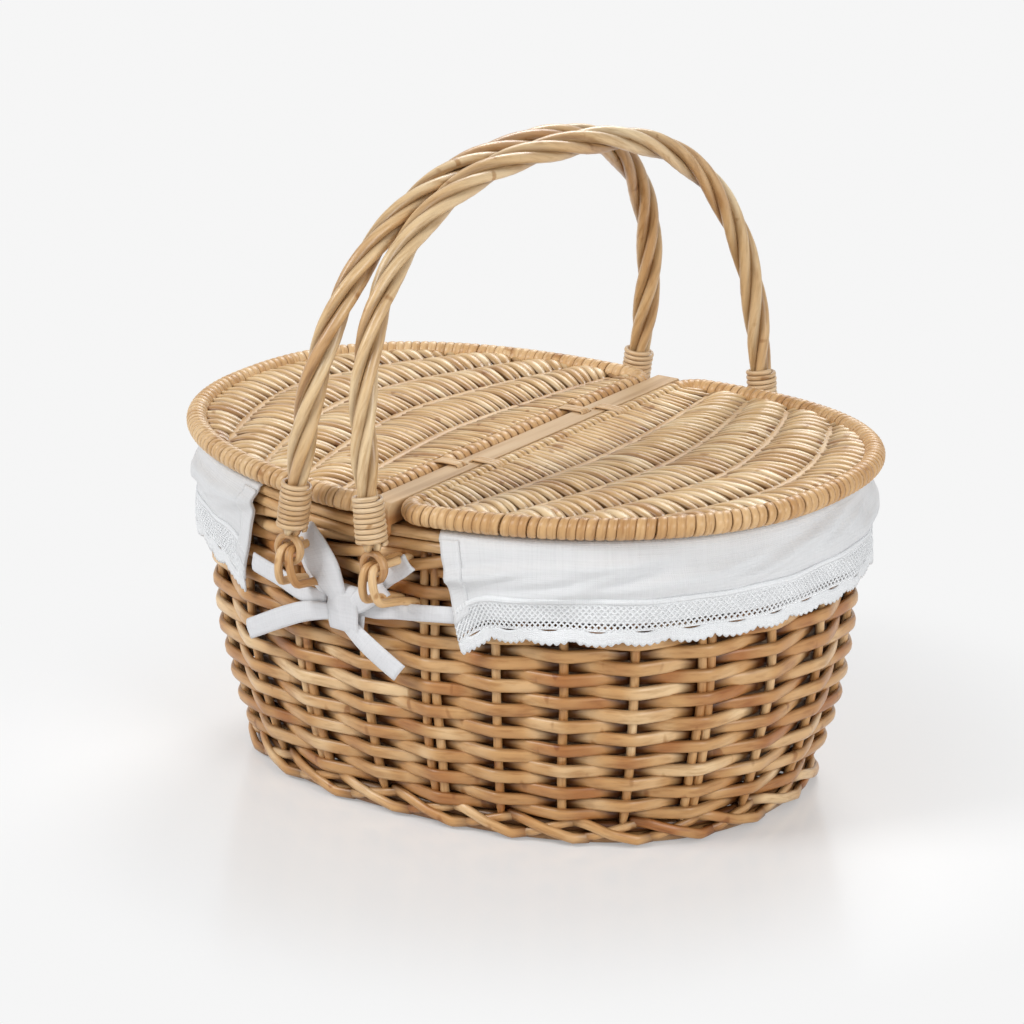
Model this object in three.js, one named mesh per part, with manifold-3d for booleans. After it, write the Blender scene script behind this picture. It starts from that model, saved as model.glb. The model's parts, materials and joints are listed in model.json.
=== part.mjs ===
// An oval picnic basket of woven willow, with two hinged half lids, two folding arch
// handles and a white cotton lining that is turned out over the rim.
// Millimetres. +X runs along the basket's length, +Y across it, +Z up; the origin is on
// the ground under the middle of the basket.

import * as THREE from 'three';
import Module from 'manifold-3d';
import { mergeVertices } from 'three/addons/utils/BufferGeometryUtils.js';

const wasm = await Module();
wasm.setup();

// Driving dimensions: overall
const LID_LENGTH = 391;
const LID_WIDTH = 290;
const OVAL_POWER = 2.35;
const FIT_GAP = 0.3;

// Driving dimensions: woven body
const END_OVERHANG = 12;
const SIDE_OVERHANG = 6.5;
const RIM_HEIGHT = 169;
const RIM_RISE = 7.2;
const WALL_THICKNESS = 14;
const FLARE_END = 25;
const FLARE_SIDE = 20;
const FLARE_HEIGHT = 120;
const FLARE_POWER = 2.1;
const WALL_LEVEL_SHARES = [1 / 3, 5 / 8];
const FOOT_HEIGHT = 14;
const FOOT_THICKNESS = 18;
const FOOT_ROUNDING = 9;
const BORDER_HEIGHT = 13;
const BORDER_ROUNDING = 3;
const UPPER_WALE_HEIGHT = 12;
const BASE_THICKNESS = 8;
const BASE_CLEARANCE = 3;
const BASE_STICK_COUNT = 5;
const BASE_STICK_SPACING = 42;
const BASE_STICK_RADIUS = 3;
const BASE_STICK_LAP = 1;
const WALL_COLUMNS = 36;

// Driving dimensions: side weave; stakes stand at shares of the way round, a little uneven
const STAKE_COUNT = 24;
const STAKE_START = 0.0205;
const STAKE_SWAYS = [
  { waves: 1, size: 0.008, turn: -0.12 },
  { waves: 2, size: 0.0123, turn: -1.27 },
];
const STAKE_THICKNESS = 5;
const WEAVE_ROWS = 20;
const WEAVE_REACH = 4.2;
const WEAVE_ROD = 4.3;
const FLANK_STEP = 0.2;
const FLANK_REACH = 0.7;

// Driving dimensions: bridge and hinge loops
const HINGE_OFFSET = 13.5;
const SLAT_WIDTH = 14.4;
const SLAT_THICKNESS = 5;
const SLAT_PROUD = 4;
const SLAT_SHOULDER = 9;
const TAB_THICKNESS = 3;
const TAB_LENGTH = 24;
const TAB_POINT = 8;
const TAB_EASE = 1;
const HINGE_LOOP_WIDTH = 8;
const HINGE_LOOP_THICKNESS = 1.5;
const HINGE_LOOP_NEAR = 54;
const HINGE_LOOP_FAR = 66;
const HINGE_LOOP_PLAY = 0.8;
const HINGE_LOOP_STEP = 0.2;

// Driving dimensions: lids
const LID_EDGE_RADIUS = 5.8;
const LID_CORE_RADIUS = 4;
const LID_CORNER_RADIUS = 12;
const LID_WEAVE_THICKNESS = 7;
const LID_WEAVE_EASE = 0.5;
const LID_STICK_COUNT = 4;
const LID_END_MARGIN = 35;
const LID_STICK_RADIUS = 2.5;
const LID_STICK_PROUD = 1;

// Driving dimensions: handles
const PIVOT_DROP = 17;
const FOOT_SPREAD = 157;
const LEFT_FRONT_X = -46;
const LEFT_BACK_X = -36;
const RIGHT_FRONT_X = 8;
const RIGHT_BACK_X = 54;
const LEFT_LEAN = 9.1;
const RIGHT_LEAN = 6.1;
const ARCH_HEIGHT = 190;
const ARCH_POWER = 2.5;
const LEG_STRAIGHT = 45;
const BUNDLE_RADIUS = 7;
const BUNDLE_GROOVE = 1.2;
const FOOT_RADIUS = 5.9;
const BUNDLE_RODS = 4;
const TWIST_LENGTH = 130;
const EYE_WALL = 4;
const EYE_THICKNESS = 5;
const EYE_NECK = 0.6;
const EYE_LAP = 1;
const BINDING_CLEARANCE = 1.1;
const BINDING_LENGTH = 28;
const BINDING_TURNS = 9;
const SKEIN_WIDTH = 2.3;
const SKEIN_THICKNESS = 2.6;
const SIDE_LOOP_WIDTH = 9.8;
const SIDE_LOOP_THICKNESS = 4.8;
const SIDE_LOOP_DROP = 18;
const SIDE_LOOP_BEND = 4;
const SIDE_LOOP_DEPTH = 7;
const SIDE_LOOP_PLAY = 0.7;

// Driving dimensions: lining
const CLOTH_THICKNESS = 1.6;
const CLOTH_EASE = 1.2;
const BAG_EASE = 0.4;
const CUFF_DROP = 36;
const FOLD_DEPTH = 3;
const FOLDS_PER_CUFF = 6;
const CORNER_SAG = 12;
const CORNER_REACH = 30;
const LACE_DROP = 18;
const LACE_THICKNESS = 1;
const SCALLOP_LENGTH = 24;
const SCALLOP_DEPTH = 3;
const FRONT_SLIT = [-85, 36];
const BACK_SLIT = [-72, 78];

// Driving dimensions: ribbon bows
const KNOT_X = -28;
const KNOT_DROP = 47;
const KNOT_SIZE = 13;
const KNOT_THICKNESS = 4.6;
const RIBBON_WIDTH = 9;
const RIBBON_THICKNESS = 1.6;
const RIBBON_EASE = 1.6;
const BOW_LOOP_THICKNESS = 4.4;
const RIBBON_STEP = 12;
const TALL_LOOP = { across: -5, up: 36, widths: [8, 15, 11] };
const SHORT_LOOP = { across: 26, up: 1.5, widths: [8, 12, 10] };
const LONG_TAIL = { across: -58, up: -31 };
const SHORT_TAIL = { across: 36, up: -38 };
const TIE_RISE = 6;
const TIE_SEAM = 0.8;

// Worked out from the driving dimensions
const WALL_HALF_LENGTH = LID_LENGTH / 2 - END_OVERHANG;
const WALL_HALF_WIDTH = LID_WIDTH / 2 - SIDE_OVERHANG;
const PIVOT_HEIGHT = RIM_HEIGHT - PIVOT_DROP;
const KNOT_Z = RIM_HEIGHT - KNOT_DROP;
const RIM_SLOPE = RIM_RISE / WALL_HALF_LENGTH;
const LID_TILT = Math.atan(RIM_SLOPE);
const LINED_RIM = CLOTH_THICKNESS + 2 * FIT_GAP;
const HINGE_HEIGHT = RIM_HEIGHT + RIM_SLOPE * HINGE_OFFSET + LINED_RIM + LID_EDGE_RADIUS;
const SLAT_BOTTOM = RIM_HEIGHT + RIM_SLOPE * SLAT_WIDTH / 2 + FIT_GAP;
const SLAT_TOP = HINGE_HEIGHT + SLAT_PROUD;
const SLIT_WIDTH = HINGE_LOOP_THICKNESS + 2 * FIT_GAP;
const UPPER_WALE_TOP = BORDER_HEIGHT + FIT_GAP;
const WEAVE_TOP = UPPER_WALE_TOP + UPPER_WALE_HEIGHT + FIT_GAP;
const EYE_BORE = SIDE_LOOP_WIDTH / 2 + FIT_GAP;
const EYE_RADIUS = EYE_BORE + EYE_WALL;
const LEG_START = EYE_RADIUS + EYE_NECK;
const BINDING_START = LEG_START + BINDING_CLEARANCE;
const LID_WEAVE_INSET = 2 * LID_EDGE_RADIUS + FIT_GAP;
const LID_WEAVE_START = LID_EDGE_RADIUS + LID_WEAVE_EASE;
const FIRST_STICK_SHARE = 0.75;
const LID_STICK_REACH = LID_LENGTH / 2 - HINGE_OFFSET - LID_WEAVE_START - LID_END_MARGIN;
const LID_STICK_SPACING = LID_STICK_REACH / (LID_STICK_COUNT - 1 + FIRST_STICK_SHARE);

const WILLOW = { color: 0xc9a06c, roughness: 0.55 };
const DARK_WILLOW = { color: 0xb98a55, roughness: 0.6 };
const PALE_WILLOW = { color: 0xdcc49a, roughness: 0.5 };
const BARE_WOOD = { color: 0xc08a62, roughness: 0.6 };
const COTTON = { color: 0xf2f2f2, roughness: 0.95 };
const LACE = { color: 0xf7f7f7, roughness: 0.95 };

// Solids from rings of points: each ring is joined to the next, and the ends are capped
function capTriangles(ring) {
  const normal = new THREE.Vector3();
  ring.forEach((point, i) => {
    const next = ring[(i + 1) % ring.length];
    normal.add(new THREE.Vector3().crossVectors(point, next));
  });
  normal.normalize();
  const across = new THREE.Vector3().subVectors(ring[1], ring[0]).normalize();
  const along = new THREE.Vector3().crossVectors(normal, across);
  const flat = ring.map((p) => new THREE.Vector2(p.dot(across), p.dot(along)));
  return THREE.ShapeUtils.triangulateShape(flat, []);
}

function makeGeometry(points, triangles) {
  let volume = 0;
  for (const [a, b, c] of triangles) {
    volume += points[a].dot(new THREE.Vector3().crossVectors(points[b], points[c]));
  }
  const outward = volume > 0 ? triangles : triangles.map(([a, b, c]) => [a, c, b]);
  const geometry = new THREE.BufferGeometry();
  const numbers = points.flatMap((point) => point.toArray());
  geometry.setAttribute('position', new THREE.Float32BufferAttribute(numbers, 3));
  geometry.setIndex(outward.flat());
  return geometry;
}

function loft(rings, closed = false) {
  const points = rings.flat();
  const triangles = [];
  const count = rings[0].length;
  const spans = closed ? rings.length : rings.length - 1;
  for (let i = 0; i < spans; i += 1) {
    const here = i * count;
    const there = ((i + 1) % rings.length) * count;
    for (let j = 0; j < count; j += 1) {
      const k = (j + 1) % count;
      triangles.push([here + j, here + k, there + k], [here + j, there + k, there + j]);
    }
  }
  if (!closed) {
    const end = (rings.length - 1) * count;
    capTriangles(rings[0]).forEach(([a, b, c]) => triangles.push([a, c, b]));
    capTriangles(rings.at(-1)).forEach(([a, b, c]) => triangles.push([end + a, end + b, end + c]));
  }
  return makeGeometry(points, triangles);
}

// A section carried along a flat path; sideways is the direction square to the path's plane
function sweep(path, sectionAt, sideways, closed = false) {
  const last = path.length - 1;
  const rings = path.map((point, i) => {
    const before = path[closed ? (i + last) % path.length : Math.max(i - 1, 0)];
    const after = path[closed ? (i + 1) % path.length : Math.min(i + 1, last)];
    const tangent = new THREE.Vector3().subVectors(after, before).normalize();
    const normal = new THREE.Vector3().crossVectors(tangent, sideways);
    return sectionAt(i).map(([u, v]) =>
      point.clone().addScaledVector(sideways, u).addScaledVector(normal, v));
  });
  return loft(rings, closed);
}

function roundSection(radius, sides) {
  return Array.from({ length: sides }, (_, i) => {
    const angle = 2 * Math.PI * i / sides;
    return [radius * Math.cos(angle), radius * Math.sin(angle)];
  });
}

function roundRod(from, to, radius, sides = 8) {
  const direction = new THREE.Vector3().subVectors(to, from).normalize();
  const upright = Math.abs(direction.z) < 0.9 ? new THREE.Vector3(0, 0, 1) : new THREE.Vector3(1, 0, 0);
  const sideways = new THREE.Vector3().crossVectors(direction, upright).normalize();
  return sweep([from, to], () => roundSection(radius, sides), sideways);
}

// Booleans
function toSolid(geometry) {
  const plain = geometry.clone();
  plain.deleteAttribute('normal');
  plain.deleteAttribute('uv');
  const merged = mergeVertices(plain, 1e-4);
  return new wasm.Manifold(new wasm.Mesh({
    numProp: 3,
    vertProperties: new Float32Array(merged.getAttribute('position').array),
    triVerts: new Uint32Array(merged.getIndex().array),
  }));
}

function toGeometry(solid) {
  const mesh = solid.getMesh();
  const geometry = new THREE.BufferGeometry();
  geometry.setAttribute('position', new THREE.BufferAttribute(new Float32Array(mesh.vertProperties), 3));
  geometry.setIndex(new THREE.BufferAttribute(new Uint32Array(mesh.triVerts), 1));
  return geometry;
}

function join(...geometries) {
  return toGeometry(geometries.map(toSolid).reduce((whole, piece) => whole.add(piece)));
}

function cut(geometry, cutters) {
  const pieces = cutters.map(toSolid);
  return toGeometry(pieces.reduce((whole, cutter) => whole.subtract(cutter), toSolid(geometry)));
}

// The basket's oval: a superellipse, walked in even steps of its length
function oval(angle, halfLength, halfWidth) {
  const power = 2 / OVAL_POWER;
  const x = halfLength * Math.sign(Math.cos(angle)) * Math.abs(Math.cos(angle)) ** power;
  const y = halfWidth * Math.sign(Math.sin(angle)) * Math.abs(Math.sin(angle)) ** power;
  return [x, y];
}

function ovalWidthAt(x, halfLength, halfWidth) {
  return halfWidth * (1 - Math.abs(x / halfLength) ** OVAL_POWER) ** (1 / OVAL_POWER);
}

const WALK_STEPS = 1440;
const walked = [0];
for (let i = 1; i <= WALK_STEPS; i += 1) {
  const here = oval(2 * Math.PI * i / WALK_STEPS, WALL_HALF_LENGTH, WALL_HALF_WIDTH);
  const before = oval(2 * Math.PI * (i - 1) / WALK_STEPS, WALL_HALF_LENGTH, WALL_HALF_WIDTH);
  walked.push(walked[i - 1] + Math.hypot(here[0] - before[0], here[1] - before[1]));
}
const PERIMETER = walked[WALK_STEPS];

function lengthAtAngle(angle) {
  const turns = Math.floor(angle / (2 * Math.PI));
  const step = (angle / (2 * Math.PI) - turns) * WALK_STEPS;
  const low = Math.min(Math.floor(step), WALK_STEPS - 1);
  return turns * PERIMETER + walked[low] + (walked[low + 1] - walked[low]) * (step - low);
}

function angleAtLength(length) {
  const turns = Math.floor(length / PERIMETER);
  const rest = length - turns * PERIMETER;
  const high = Math.max(1, walked.findIndex((value) => value >= rest));
  const share = (rest - walked[high - 1]) / (walked[high] - walked[high - 1]);
  return 2 * Math.PI * (turns + (high - 1 + share) / WALK_STEPS);
}

function evenAngles(from, to, count) {
  const start = lengthAtAngle(from);
  const step = (lengthAtAngle(to) - start) / count;
  return Array.from({ length: count + 1 }, (_, i) => angleAtLength(start + step * i));
}

function angleOfX(x) {
  return Math.acos(Math.sign(x) * Math.abs(x / WALL_HALF_LENGTH) ** (OVAL_POWER / 2));
}

const WALL_ANGLES = evenAngles(0, 2 * Math.PI, WALL_COLUMNS).slice(0, WALL_COLUMNS);

const rimTop = (x) => RIM_HEIGHT + RIM_SLOPE * Math.abs(x);

// A point of the wall: inset from its outer face, at a height over the ground (z) or a
// distance under the rim's top (below), which rises from the bridge to the ends
function wallPoint(angle, { inset, z, below }) {
  const height = z ?? RIM_HEIGHT - below;
  const flare = Math.max(0, 1 - height / FLARE_HEIGHT) ** FLARE_POWER;
  const [x, y] = oval(
    angle,
    WALL_HALF_LENGTH - FLARE_END * flare - inset,
    WALL_HALF_WIDTH - FLARE_SIDE * flare - inset,
  );
  return new THREE.Vector3(x, y, z ?? rimTop(x) - below);
}

function hoop(section) {
  return loft(WALL_ANGLES.map((angle) => section.map((spot) => wallPoint(angle, spot))), true);
}

function footPoint(angle, inset, z) {
  return wallPoint(angle, { inset, z: FOOT_HEIGHT }).setZ(z);
}

// Woven body
function footWale() {
  const top = FOOT_HEIGHT - FIT_GAP;
  const section = [
    [0, top],
    [0.1 * FOOT_ROUNDING, 0.82 * FOOT_ROUNDING],
    [0.45 * FOOT_ROUNDING, 0.35 * FOOT_ROUNDING],
    [FOOT_ROUNDING, 0],
    [FOOT_THICKNESS - BASE_CLEARANCE, 0],
    [FOOT_THICKNESS, BASE_CLEARANCE],
    [FOOT_THICKNESS, top],
  ];
  return loft(WALL_ANGLES.map((angle) => section.map(([inset, z]) => footPoint(angle, inset, z))), true);
}

function baseStickX(index) {
  return (index - (BASE_STICK_COUNT - 1) / 2) * BASE_STICK_SPACING;
}

const BASE_INSET = FOOT_THICKNESS + FIT_GAP;
const BASE_STICK_Z = BASE_CLEARANCE + BASE_STICK_RADIUS - BASE_STICK_LAP;

function baseStickRod(index, radius, spare) {
  const edge = footPoint(0, BASE_INSET, 0).x;
  const side = footPoint(Math.PI / 2, BASE_INSET, 0).y;
  const x = baseStickX(index);
  const reach = ovalWidthAt(Math.abs(x) + BASE_STICK_RADIUS, edge, side) + spare;
  const front = new THREE.Vector3(x, -reach, BASE_STICK_Z);
  const back = new THREE.Vector3(x, reach, BASE_STICK_Z);
  return roundRod(front, back, radius);
}

function baseWeave() {
  const rings = [BASE_CLEARANCE, BASE_CLEARANCE + BASE_THICKNESS].map((z) =>
    WALL_ANGLES.map((angle) => footPoint(angle, BASE_INSET, z)));
  const grooves = Array.from({ length: BASE_STICK_COUNT }, (_, i) =>
    baseStickRod(i, BASE_STICK_RADIUS + FIT_GAP, FOOT_THICKNESS));
  return cut(loft(rings), grooves);
}

const WALL_LEVELS = [
  { z: FOOT_HEIGHT },
  ...WALL_LEVEL_SHARES.map((share) => ({ z: share * FLARE_HEIGHT })),
  { z: FLARE_HEIGHT },
  { below: WEAVE_TOP },
];

function stakeAngle(count) {
  const share = count / STAKE_COUNT;
  const sway = STAKE_SWAYS.reduce(
    (sum, { waves, size, turn }) => sum + size * Math.sin(2 * Math.PI * waves * share + turn), 0);
  return angleAtLength(PERIMETER * (STAKE_START + share + sway));
}

// The outer face of one row of weaving, at a stake or beside it: in front of every other
// stake the row stands out, and behind the next it leaves the stake or a pocket open
function rowInset(inFront, atStake) {
  const middle = WALL_THICKNESS / 2;
  const reach = WEAVE_REACH * (atStake ? 1 : FLANK_REACH);
  if (inFront) {
    return middle - reach - WEAVE_ROD / 2;
  }
  return atStake ? middle - STAKE_THICKNESS / 2 : middle + reach - WEAVE_ROD / 2;
}

// Columns of the side weave: three to a stake, and one at each low point of the rim
function weaveColumns() {
  const columns = Array.from({ length: 3 * STAKE_COUNT }, (_, i) => {
    const stake = Math.floor(i / 3);
    const flank = i % 3 - 1;
    const insets = Array.from({ length: WEAVE_ROWS }, (_, row) =>
      rowInset((stake + row) % 2 === 0, flank === 0));
    return { angle: stakeAngle(stake + flank * FLANK_STEP), insets };
  });
  for (const low of [Math.PI / 2, 1.5 * Math.PI]) {
    const after = columns.findIndex(({ angle }) => angle > low);
    const insets = columns[after - 1].insets.map((inset, row) => (inset + columns[after].insets[row]) / 2);
    columns.splice(after, 0, { angle: low, insets });
  }
  return columns;
}

function sideWeave(sockets) {
  const edge = (WALL_THICKNESS - WEAVE_ROD) / 2;
  const back = WALL_THICKNESS / 2 + WEAVE_REACH + WEAVE_ROD / 2;
  const inner = WALL_LEVELS.map((level) => ({ inset: back, ...level })).reverse();
  const rings = weaveColumns().map(({ angle, insets }) => {
    const [x] = oval(angle, WALL_HALF_LENGTH, WALL_HALF_WIDTH);
    const rise = (rimTop(x) - WEAVE_TOP - FOOT_HEIGHT) / WEAVE_ROWS;
    const rows = insets.map((inset, row) => ({ inset, z: FOOT_HEIGHT + rise * (row + 0.5) }));
    const section = [{ inset: edge, z: FOOT_HEIGHT }, ...rows, { inset: edge, below: WEAVE_TOP }, ...inner];
    return section.map((spot) => wallPoint(angle, spot));
  });
  return cut(loft(rings, true), sockets);
}

function upperWale(sockets) {
  const low = UPPER_WALE_TOP + UPPER_WALE_HEIGHT;
  return cut(hoop([
    { inset: 0, below: low },
    { inset: 0, below: UPPER_WALE_TOP },
    { inset: WALL_THICKNESS, below: UPPER_WALE_TOP },
    { inset: WALL_THICKNESS, below: low },
  ]), sockets);
}

function rimBorder() {
  return hoop([
    { inset: 0, below: BORDER_HEIGHT },
    { inset: 0, below: BORDER_ROUNDING },
    { inset: BORDER_ROUNDING, below: 0 },
    { inset: WALL_THICKNESS - BORDER_ROUNDING, below: 0 },
    { inset: WALL_THICKNESS, below: BORDER_ROUNDING },
    { inset: WALL_THICKNESS, below: BORDER_HEIGHT },
  ]);
}

// Bridge: a flat slat between the lids, level with their tops. It stands on the rim, its
// pointed ends turn down outside the wall, and the hinge loops pass through its slits.
function bridgeSlat() {
  const inside = WALL_HALF_WIDTH + FIT_GAP + TAB_EASE;
  const outside = inside + TAB_THICKNESS;
  const tip = SLAT_TOP - TAB_LENGTH;
  const half = SLAT_WIDTH / 2;
  const rim = WALL_HALF_WIDTH - WALL_THICKNESS;
  const quarter = [
    [outside, tip, inside, tip, 0.16 * half],
    [outside, tip + TAB_POINT, inside, tip + TAB_POINT, half],
    [outside, SLAT_TOP - TAB_THICKNESS, inside, SLAT_BOTTOM, half],
    [inside, SLAT_TOP, inside - TAB_THICKNESS, SLAT_BOTTOM, half],
    [rim, SLAT_TOP, rim, SLAT_BOTTOM, half],
    [rim - SLAT_SHOULDER, SLAT_TOP, rim - SLAT_SHOULDER, SLAT_TOP - SLAT_THICKNESS, half],
  ];
  const section = (side) => ([outerY, outerZ, innerY, innerZ, halfWidth]) => [
    new THREE.Vector3(-halfWidth, side * outerY, outerZ),
    new THREE.Vector3(halfWidth, side * outerY, outerZ),
    new THREE.Vector3(halfWidth, side * innerY, innerZ),
    new THREE.Vector3(-halfWidth, side * innerY, innerZ),
  ];
  const slat = loft([...quarter.map(section(-1)), ...[...quarter].reverse().map(section(1))]);
  const slits = [-HINGE_LOOP_FAR, -HINGE_LOOP_NEAR, HINGE_LOOP_NEAR, HINGE_LOOP_FAR].map((y) =>
    new THREE.BoxGeometry(SLIT_WIDTH, HINGE_LOOP_WIDTH + 2 * FIT_GAP, 3 * SLAT_THICKNESS)
      .translate(0, y, SLAT_TOP));
  return cut(slat, slits);
}

// Hinge loop: a band of skein round the lid's hinge bar and the near half of the slat
function convexOutline(points) {
  const sorted = [...points].sort((p, q) => p[0] - q[0] || p[1] - q[1]);
  const turn = (o, a, b) => (a[0] - o[0]) * (b[1] - o[1]) - (a[1] - o[1]) * (b[0] - o[0]);
  const half = (list) => {
    const chain = [];
    for (const point of list) {
      while (chain.length > 1 && turn(chain.at(-2), chain.at(-1), point) <= 1e-6) {
        chain.pop();
      }
      chain.push(point);
    }
    return chain.slice(0, -1);
  };
  return [...half(sorted), ...half([...sorted].reverse())];
}

function bandOutline(side, spare) {
  const sides = 14;
  const radius = (LID_CORE_RADIUS + spare) / Math.cos(Math.PI / sides);
  const circle = roundSection(radius, sides).map(([u, v]) => [side * HINGE_OFFSET + u, HINGE_HEIGHT + v]);
  const low = SLAT_TOP - SLAT_THICKNESS - spare;
  const reaches = [SLIT_WIDTH / 2 - spare, SLAT_WIDTH / 2 + spare];
  const corners = reaches.flatMap((x) => [[side * x, low], [side * x, SLAT_TOP + spare]]);
  return convexOutline([...circle, ...corners]).map(([x, z]) => new THREE.Vector2(x, z));
}

function hingeLoop(side, centreY) {
  const shape = new THREE.Shape(bandOutline(side, FIT_GAP + HINGE_LOOP_THICKNESS));
  shape.holes.push(new THREE.Path(bandOutline(side, FIT_GAP)));
  const geometry = new THREE.ExtrudeGeometry(shape, { depth: HINGE_LOOP_WIDTH, bevelEnabled: false });
  geometry.rotateX(Math.PI / 2);
  geometry.translate(0, centreY + HINGE_LOOP_WIDTH / 2, 0);
  return geometry;
}

// Lids, in a frame of their own: the hinge bar on the Y axis, the lid towards +X
const LID_HALF_LENGTH = LID_LENGTH / 2;
const LID_HALF_WIDTH = LID_WIDTH / 2;

function lidOutline(inset, cornerRadius, start, steps) {
  const halfLength = LID_HALF_LENGTH - inset;
  const halfWidth = LID_HALF_WIDTH - inset;
  const reach = (x) => (x - HINGE_OFFSET) / Math.cos(LID_TILT);
  const cornerX = HINGE_OFFSET + (start + cornerRadius) * Math.cos(LID_TILT);
  const cornerY = ovalWidthAt(cornerX, halfLength, halfWidth) - cornerRadius;
  const side = [];
  for (let i = 0; i <= 4; i += 1) {
    const angle = Math.PI * (1 - i / 8);
    side.push([
      start + cornerRadius * (1 + Math.cos(angle)),
      cornerY + cornerRadius * Math.sin(angle),
    ]);
  }
  const first = Math.acos((cornerX / halfLength) ** (OVAL_POWER / 2));
  for (let i = 1; i <= steps; i += 1) {
    const [x, y] = oval(first * (1 - i / steps), halfLength, halfWidth);
    side.push([reach(x), y]);
  }
  const tip = side.pop();
  const mirrored = side.map(([x, y]) => [x, -y]).reverse();
  return [...side, tip, ...mirrored];
}

function lidEdge() {
  const outline = lidOutline(LID_EDGE_RADIUS, LID_CORNER_RADIUS, 0, 13);
  const neck = HINGE_LOOP_WIDTH / 2 + HINGE_LOOP_PLAY;
  const bar = [];
  for (const centre of [-HINGE_LOOP_NEAR, HINGE_LOOP_FAR]) {
    bar.push([centre - neck - HINGE_LOOP_STEP, LID_EDGE_RADIUS], [centre - neck, LID_CORE_RADIUS]);
    bar.push([centre + neck, LID_CORE_RADIUS], [centre + neck + HINGE_LOOP_STEP, LID_EDGE_RADIUS]);
  }
  const path = [
    ...outline.map(([x, y]) => new THREE.Vector3(x, y, 0)),
    ...bar.map(([y]) => new THREE.Vector3(0, y, 0)),
  ];
  const radii = [...outline.map(() => LID_EDGE_RADIUS), ...bar.map(([, radius]) => radius)];
  const sideways = new THREE.Vector3(0, 0, 1);
  return sweep(path, (i) => roundSection(radii[i], 8), sideways, true);
}

function lidStickRod(index, radius, spare) {
  const x = LID_WEAVE_START + LID_STICK_SPACING * (index + FIRST_STICK_SHARE);
  const outermost = HINGE_OFFSET + x + LID_STICK_RADIUS;
  const halfWidth = LID_HALF_WIDTH - LID_WEAVE_INSET;
  const reach = ovalWidthAt(outermost, LID_HALF_LENGTH - LID_WEAVE_INSET, halfWidth) + spare;
  const z = LID_WEAVE_THICKNESS / 2 + LID_STICK_PROUD - LID_STICK_RADIUS;
  return roundRod(new THREE.Vector3(x, -reach, z), new THREE.Vector3(x, reach, z), radius);
}

function lidWeave() {
  const corner = LID_CORNER_RADIUS - LID_EDGE_RADIUS;
  const outline = lidOutline(LID_WEAVE_INSET, corner, LID_WEAVE_START, 13);
  const rings = [-LID_WEAVE_THICKNESS / 2, LID_WEAVE_THICKNESS / 2].map((z) =>
    outline.map(([x, y]) => new THREE.Vector3(x, y, z)));
  const grooves = Array.from({ length: LID_STICK_COUNT }, (_, i) =>
    lidStickRod(i, LID_STICK_RADIUS + FIT_GAP, LID_EDGE_RADIUS * 4));
  return cut(loft(rings), grooves);
}

// Handles, in a frame of their own: the pivot line on the Y axis, the arch up +Z
function handleSpan(frontX, backX) {
  return Math.hypot(FOOT_SPREAD, (backX - frontX) / 2);
}

function bundleSection(radius, lobes, twist) {
  const sides = 3 * BUNDLE_RODS;
  return Array.from({ length: sides }, (_, i) => {
    const angle = 2 * Math.PI * i / sides;
    const reach = radius - lobes * (1 - Math.cos(BUNDLE_RODS * angle)) / 2;
    return [reach * Math.cos(angle + twist), reach * Math.sin(angle + twist)];
  });
}

function archPath(span) {
  const steps = 34;
  const bindingEnd = BINDING_START + BINDING_LENGTH + BINDING_CLEARANCE;
  const leg = [LEG_START, bindingEnd].map((z) => [-span, z]);
  const arch = [];
  for (let i = 0; i <= steps; i += 1) {
    const angle = Math.PI * i / steps;
    const power = 2 / ARCH_POWER;
    const across = -Math.sign(Math.cos(angle)) * Math.abs(Math.cos(angle)) ** power;
    const up = Math.abs(Math.sin(angle)) ** power;
    arch.push([span * across, LEG_STRAIGHT + (ARCH_HEIGHT - LEG_STRAIGHT) * up]);
  }
  const otherLeg = leg.map(([y, z]) => [-y, z]).reverse();
  return [...leg, ...arch, ...otherLeg].map(([y, z]) => new THREE.Vector3(0, y, z));
}

function footEye(y) {
  const shape = new THREE.Shape();
  const shoulder = Math.asin(FOOT_RADIUS / EYE_RADIUS);
  const top = LEG_START + EYE_LAP;
  shape.moveTo(-FOOT_RADIUS, top);
  shape.lineTo(-FOOT_RADIUS, EYE_RADIUS * Math.cos(shoulder));
  shape.absarc(0, 0, EYE_RADIUS, Math.PI / 2 + shoulder, 2.5 * Math.PI - shoulder, false);
  shape.lineTo(FOOT_RADIUS, top);
  const bore = roundSection(EYE_BORE / Math.cos(Math.PI / 12), 12);
  shape.holes.push(new THREE.Path(bore.map(([x, z]) => new THREE.Vector2(x, z))));
  const settings = { depth: EYE_THICKNESS, bevelEnabled: false, curveSegments: 14 };
  const geometry = new THREE.ExtrudeGeometry(shape, settings);
  geometry.rotateX(Math.PI / 2);
  geometry.translate(0, y + EYE_THICKNESS / 2, 0);
  return geometry;
}

function handleArch(span) {
  const path = archPath(span);
  const lengths = [0];
  path.slice(1).forEach((point, i) => lengths.push(lengths[i] + point.distanceTo(path[i])));
  const sectionAt = (i) => {
    const atFoot = Math.min(i, path.length - 1 - i) < 2;
    const twist = 2 * Math.PI * lengths[i] / TWIST_LENGTH;
    const [radius, groove] = atFoot ? [FOOT_RADIUS, 0] : [BUNDLE_RADIUS, BUNDLE_GROOVE];
    return bundleSection(radius, groove, twist);
  };
  const arch = sweep(path, sectionAt, new THREE.Vector3(1, 0, 0));
  return join(arch, footEye(-span), footEye(span));
}

// Binding: one skein wound round the foot of the handle
const BINDING_STEPS = 10;
const BINDING_CENTRE = FOOT_RADIUS + FIT_GAP + SKEIN_THICKNESS / 2;

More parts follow.
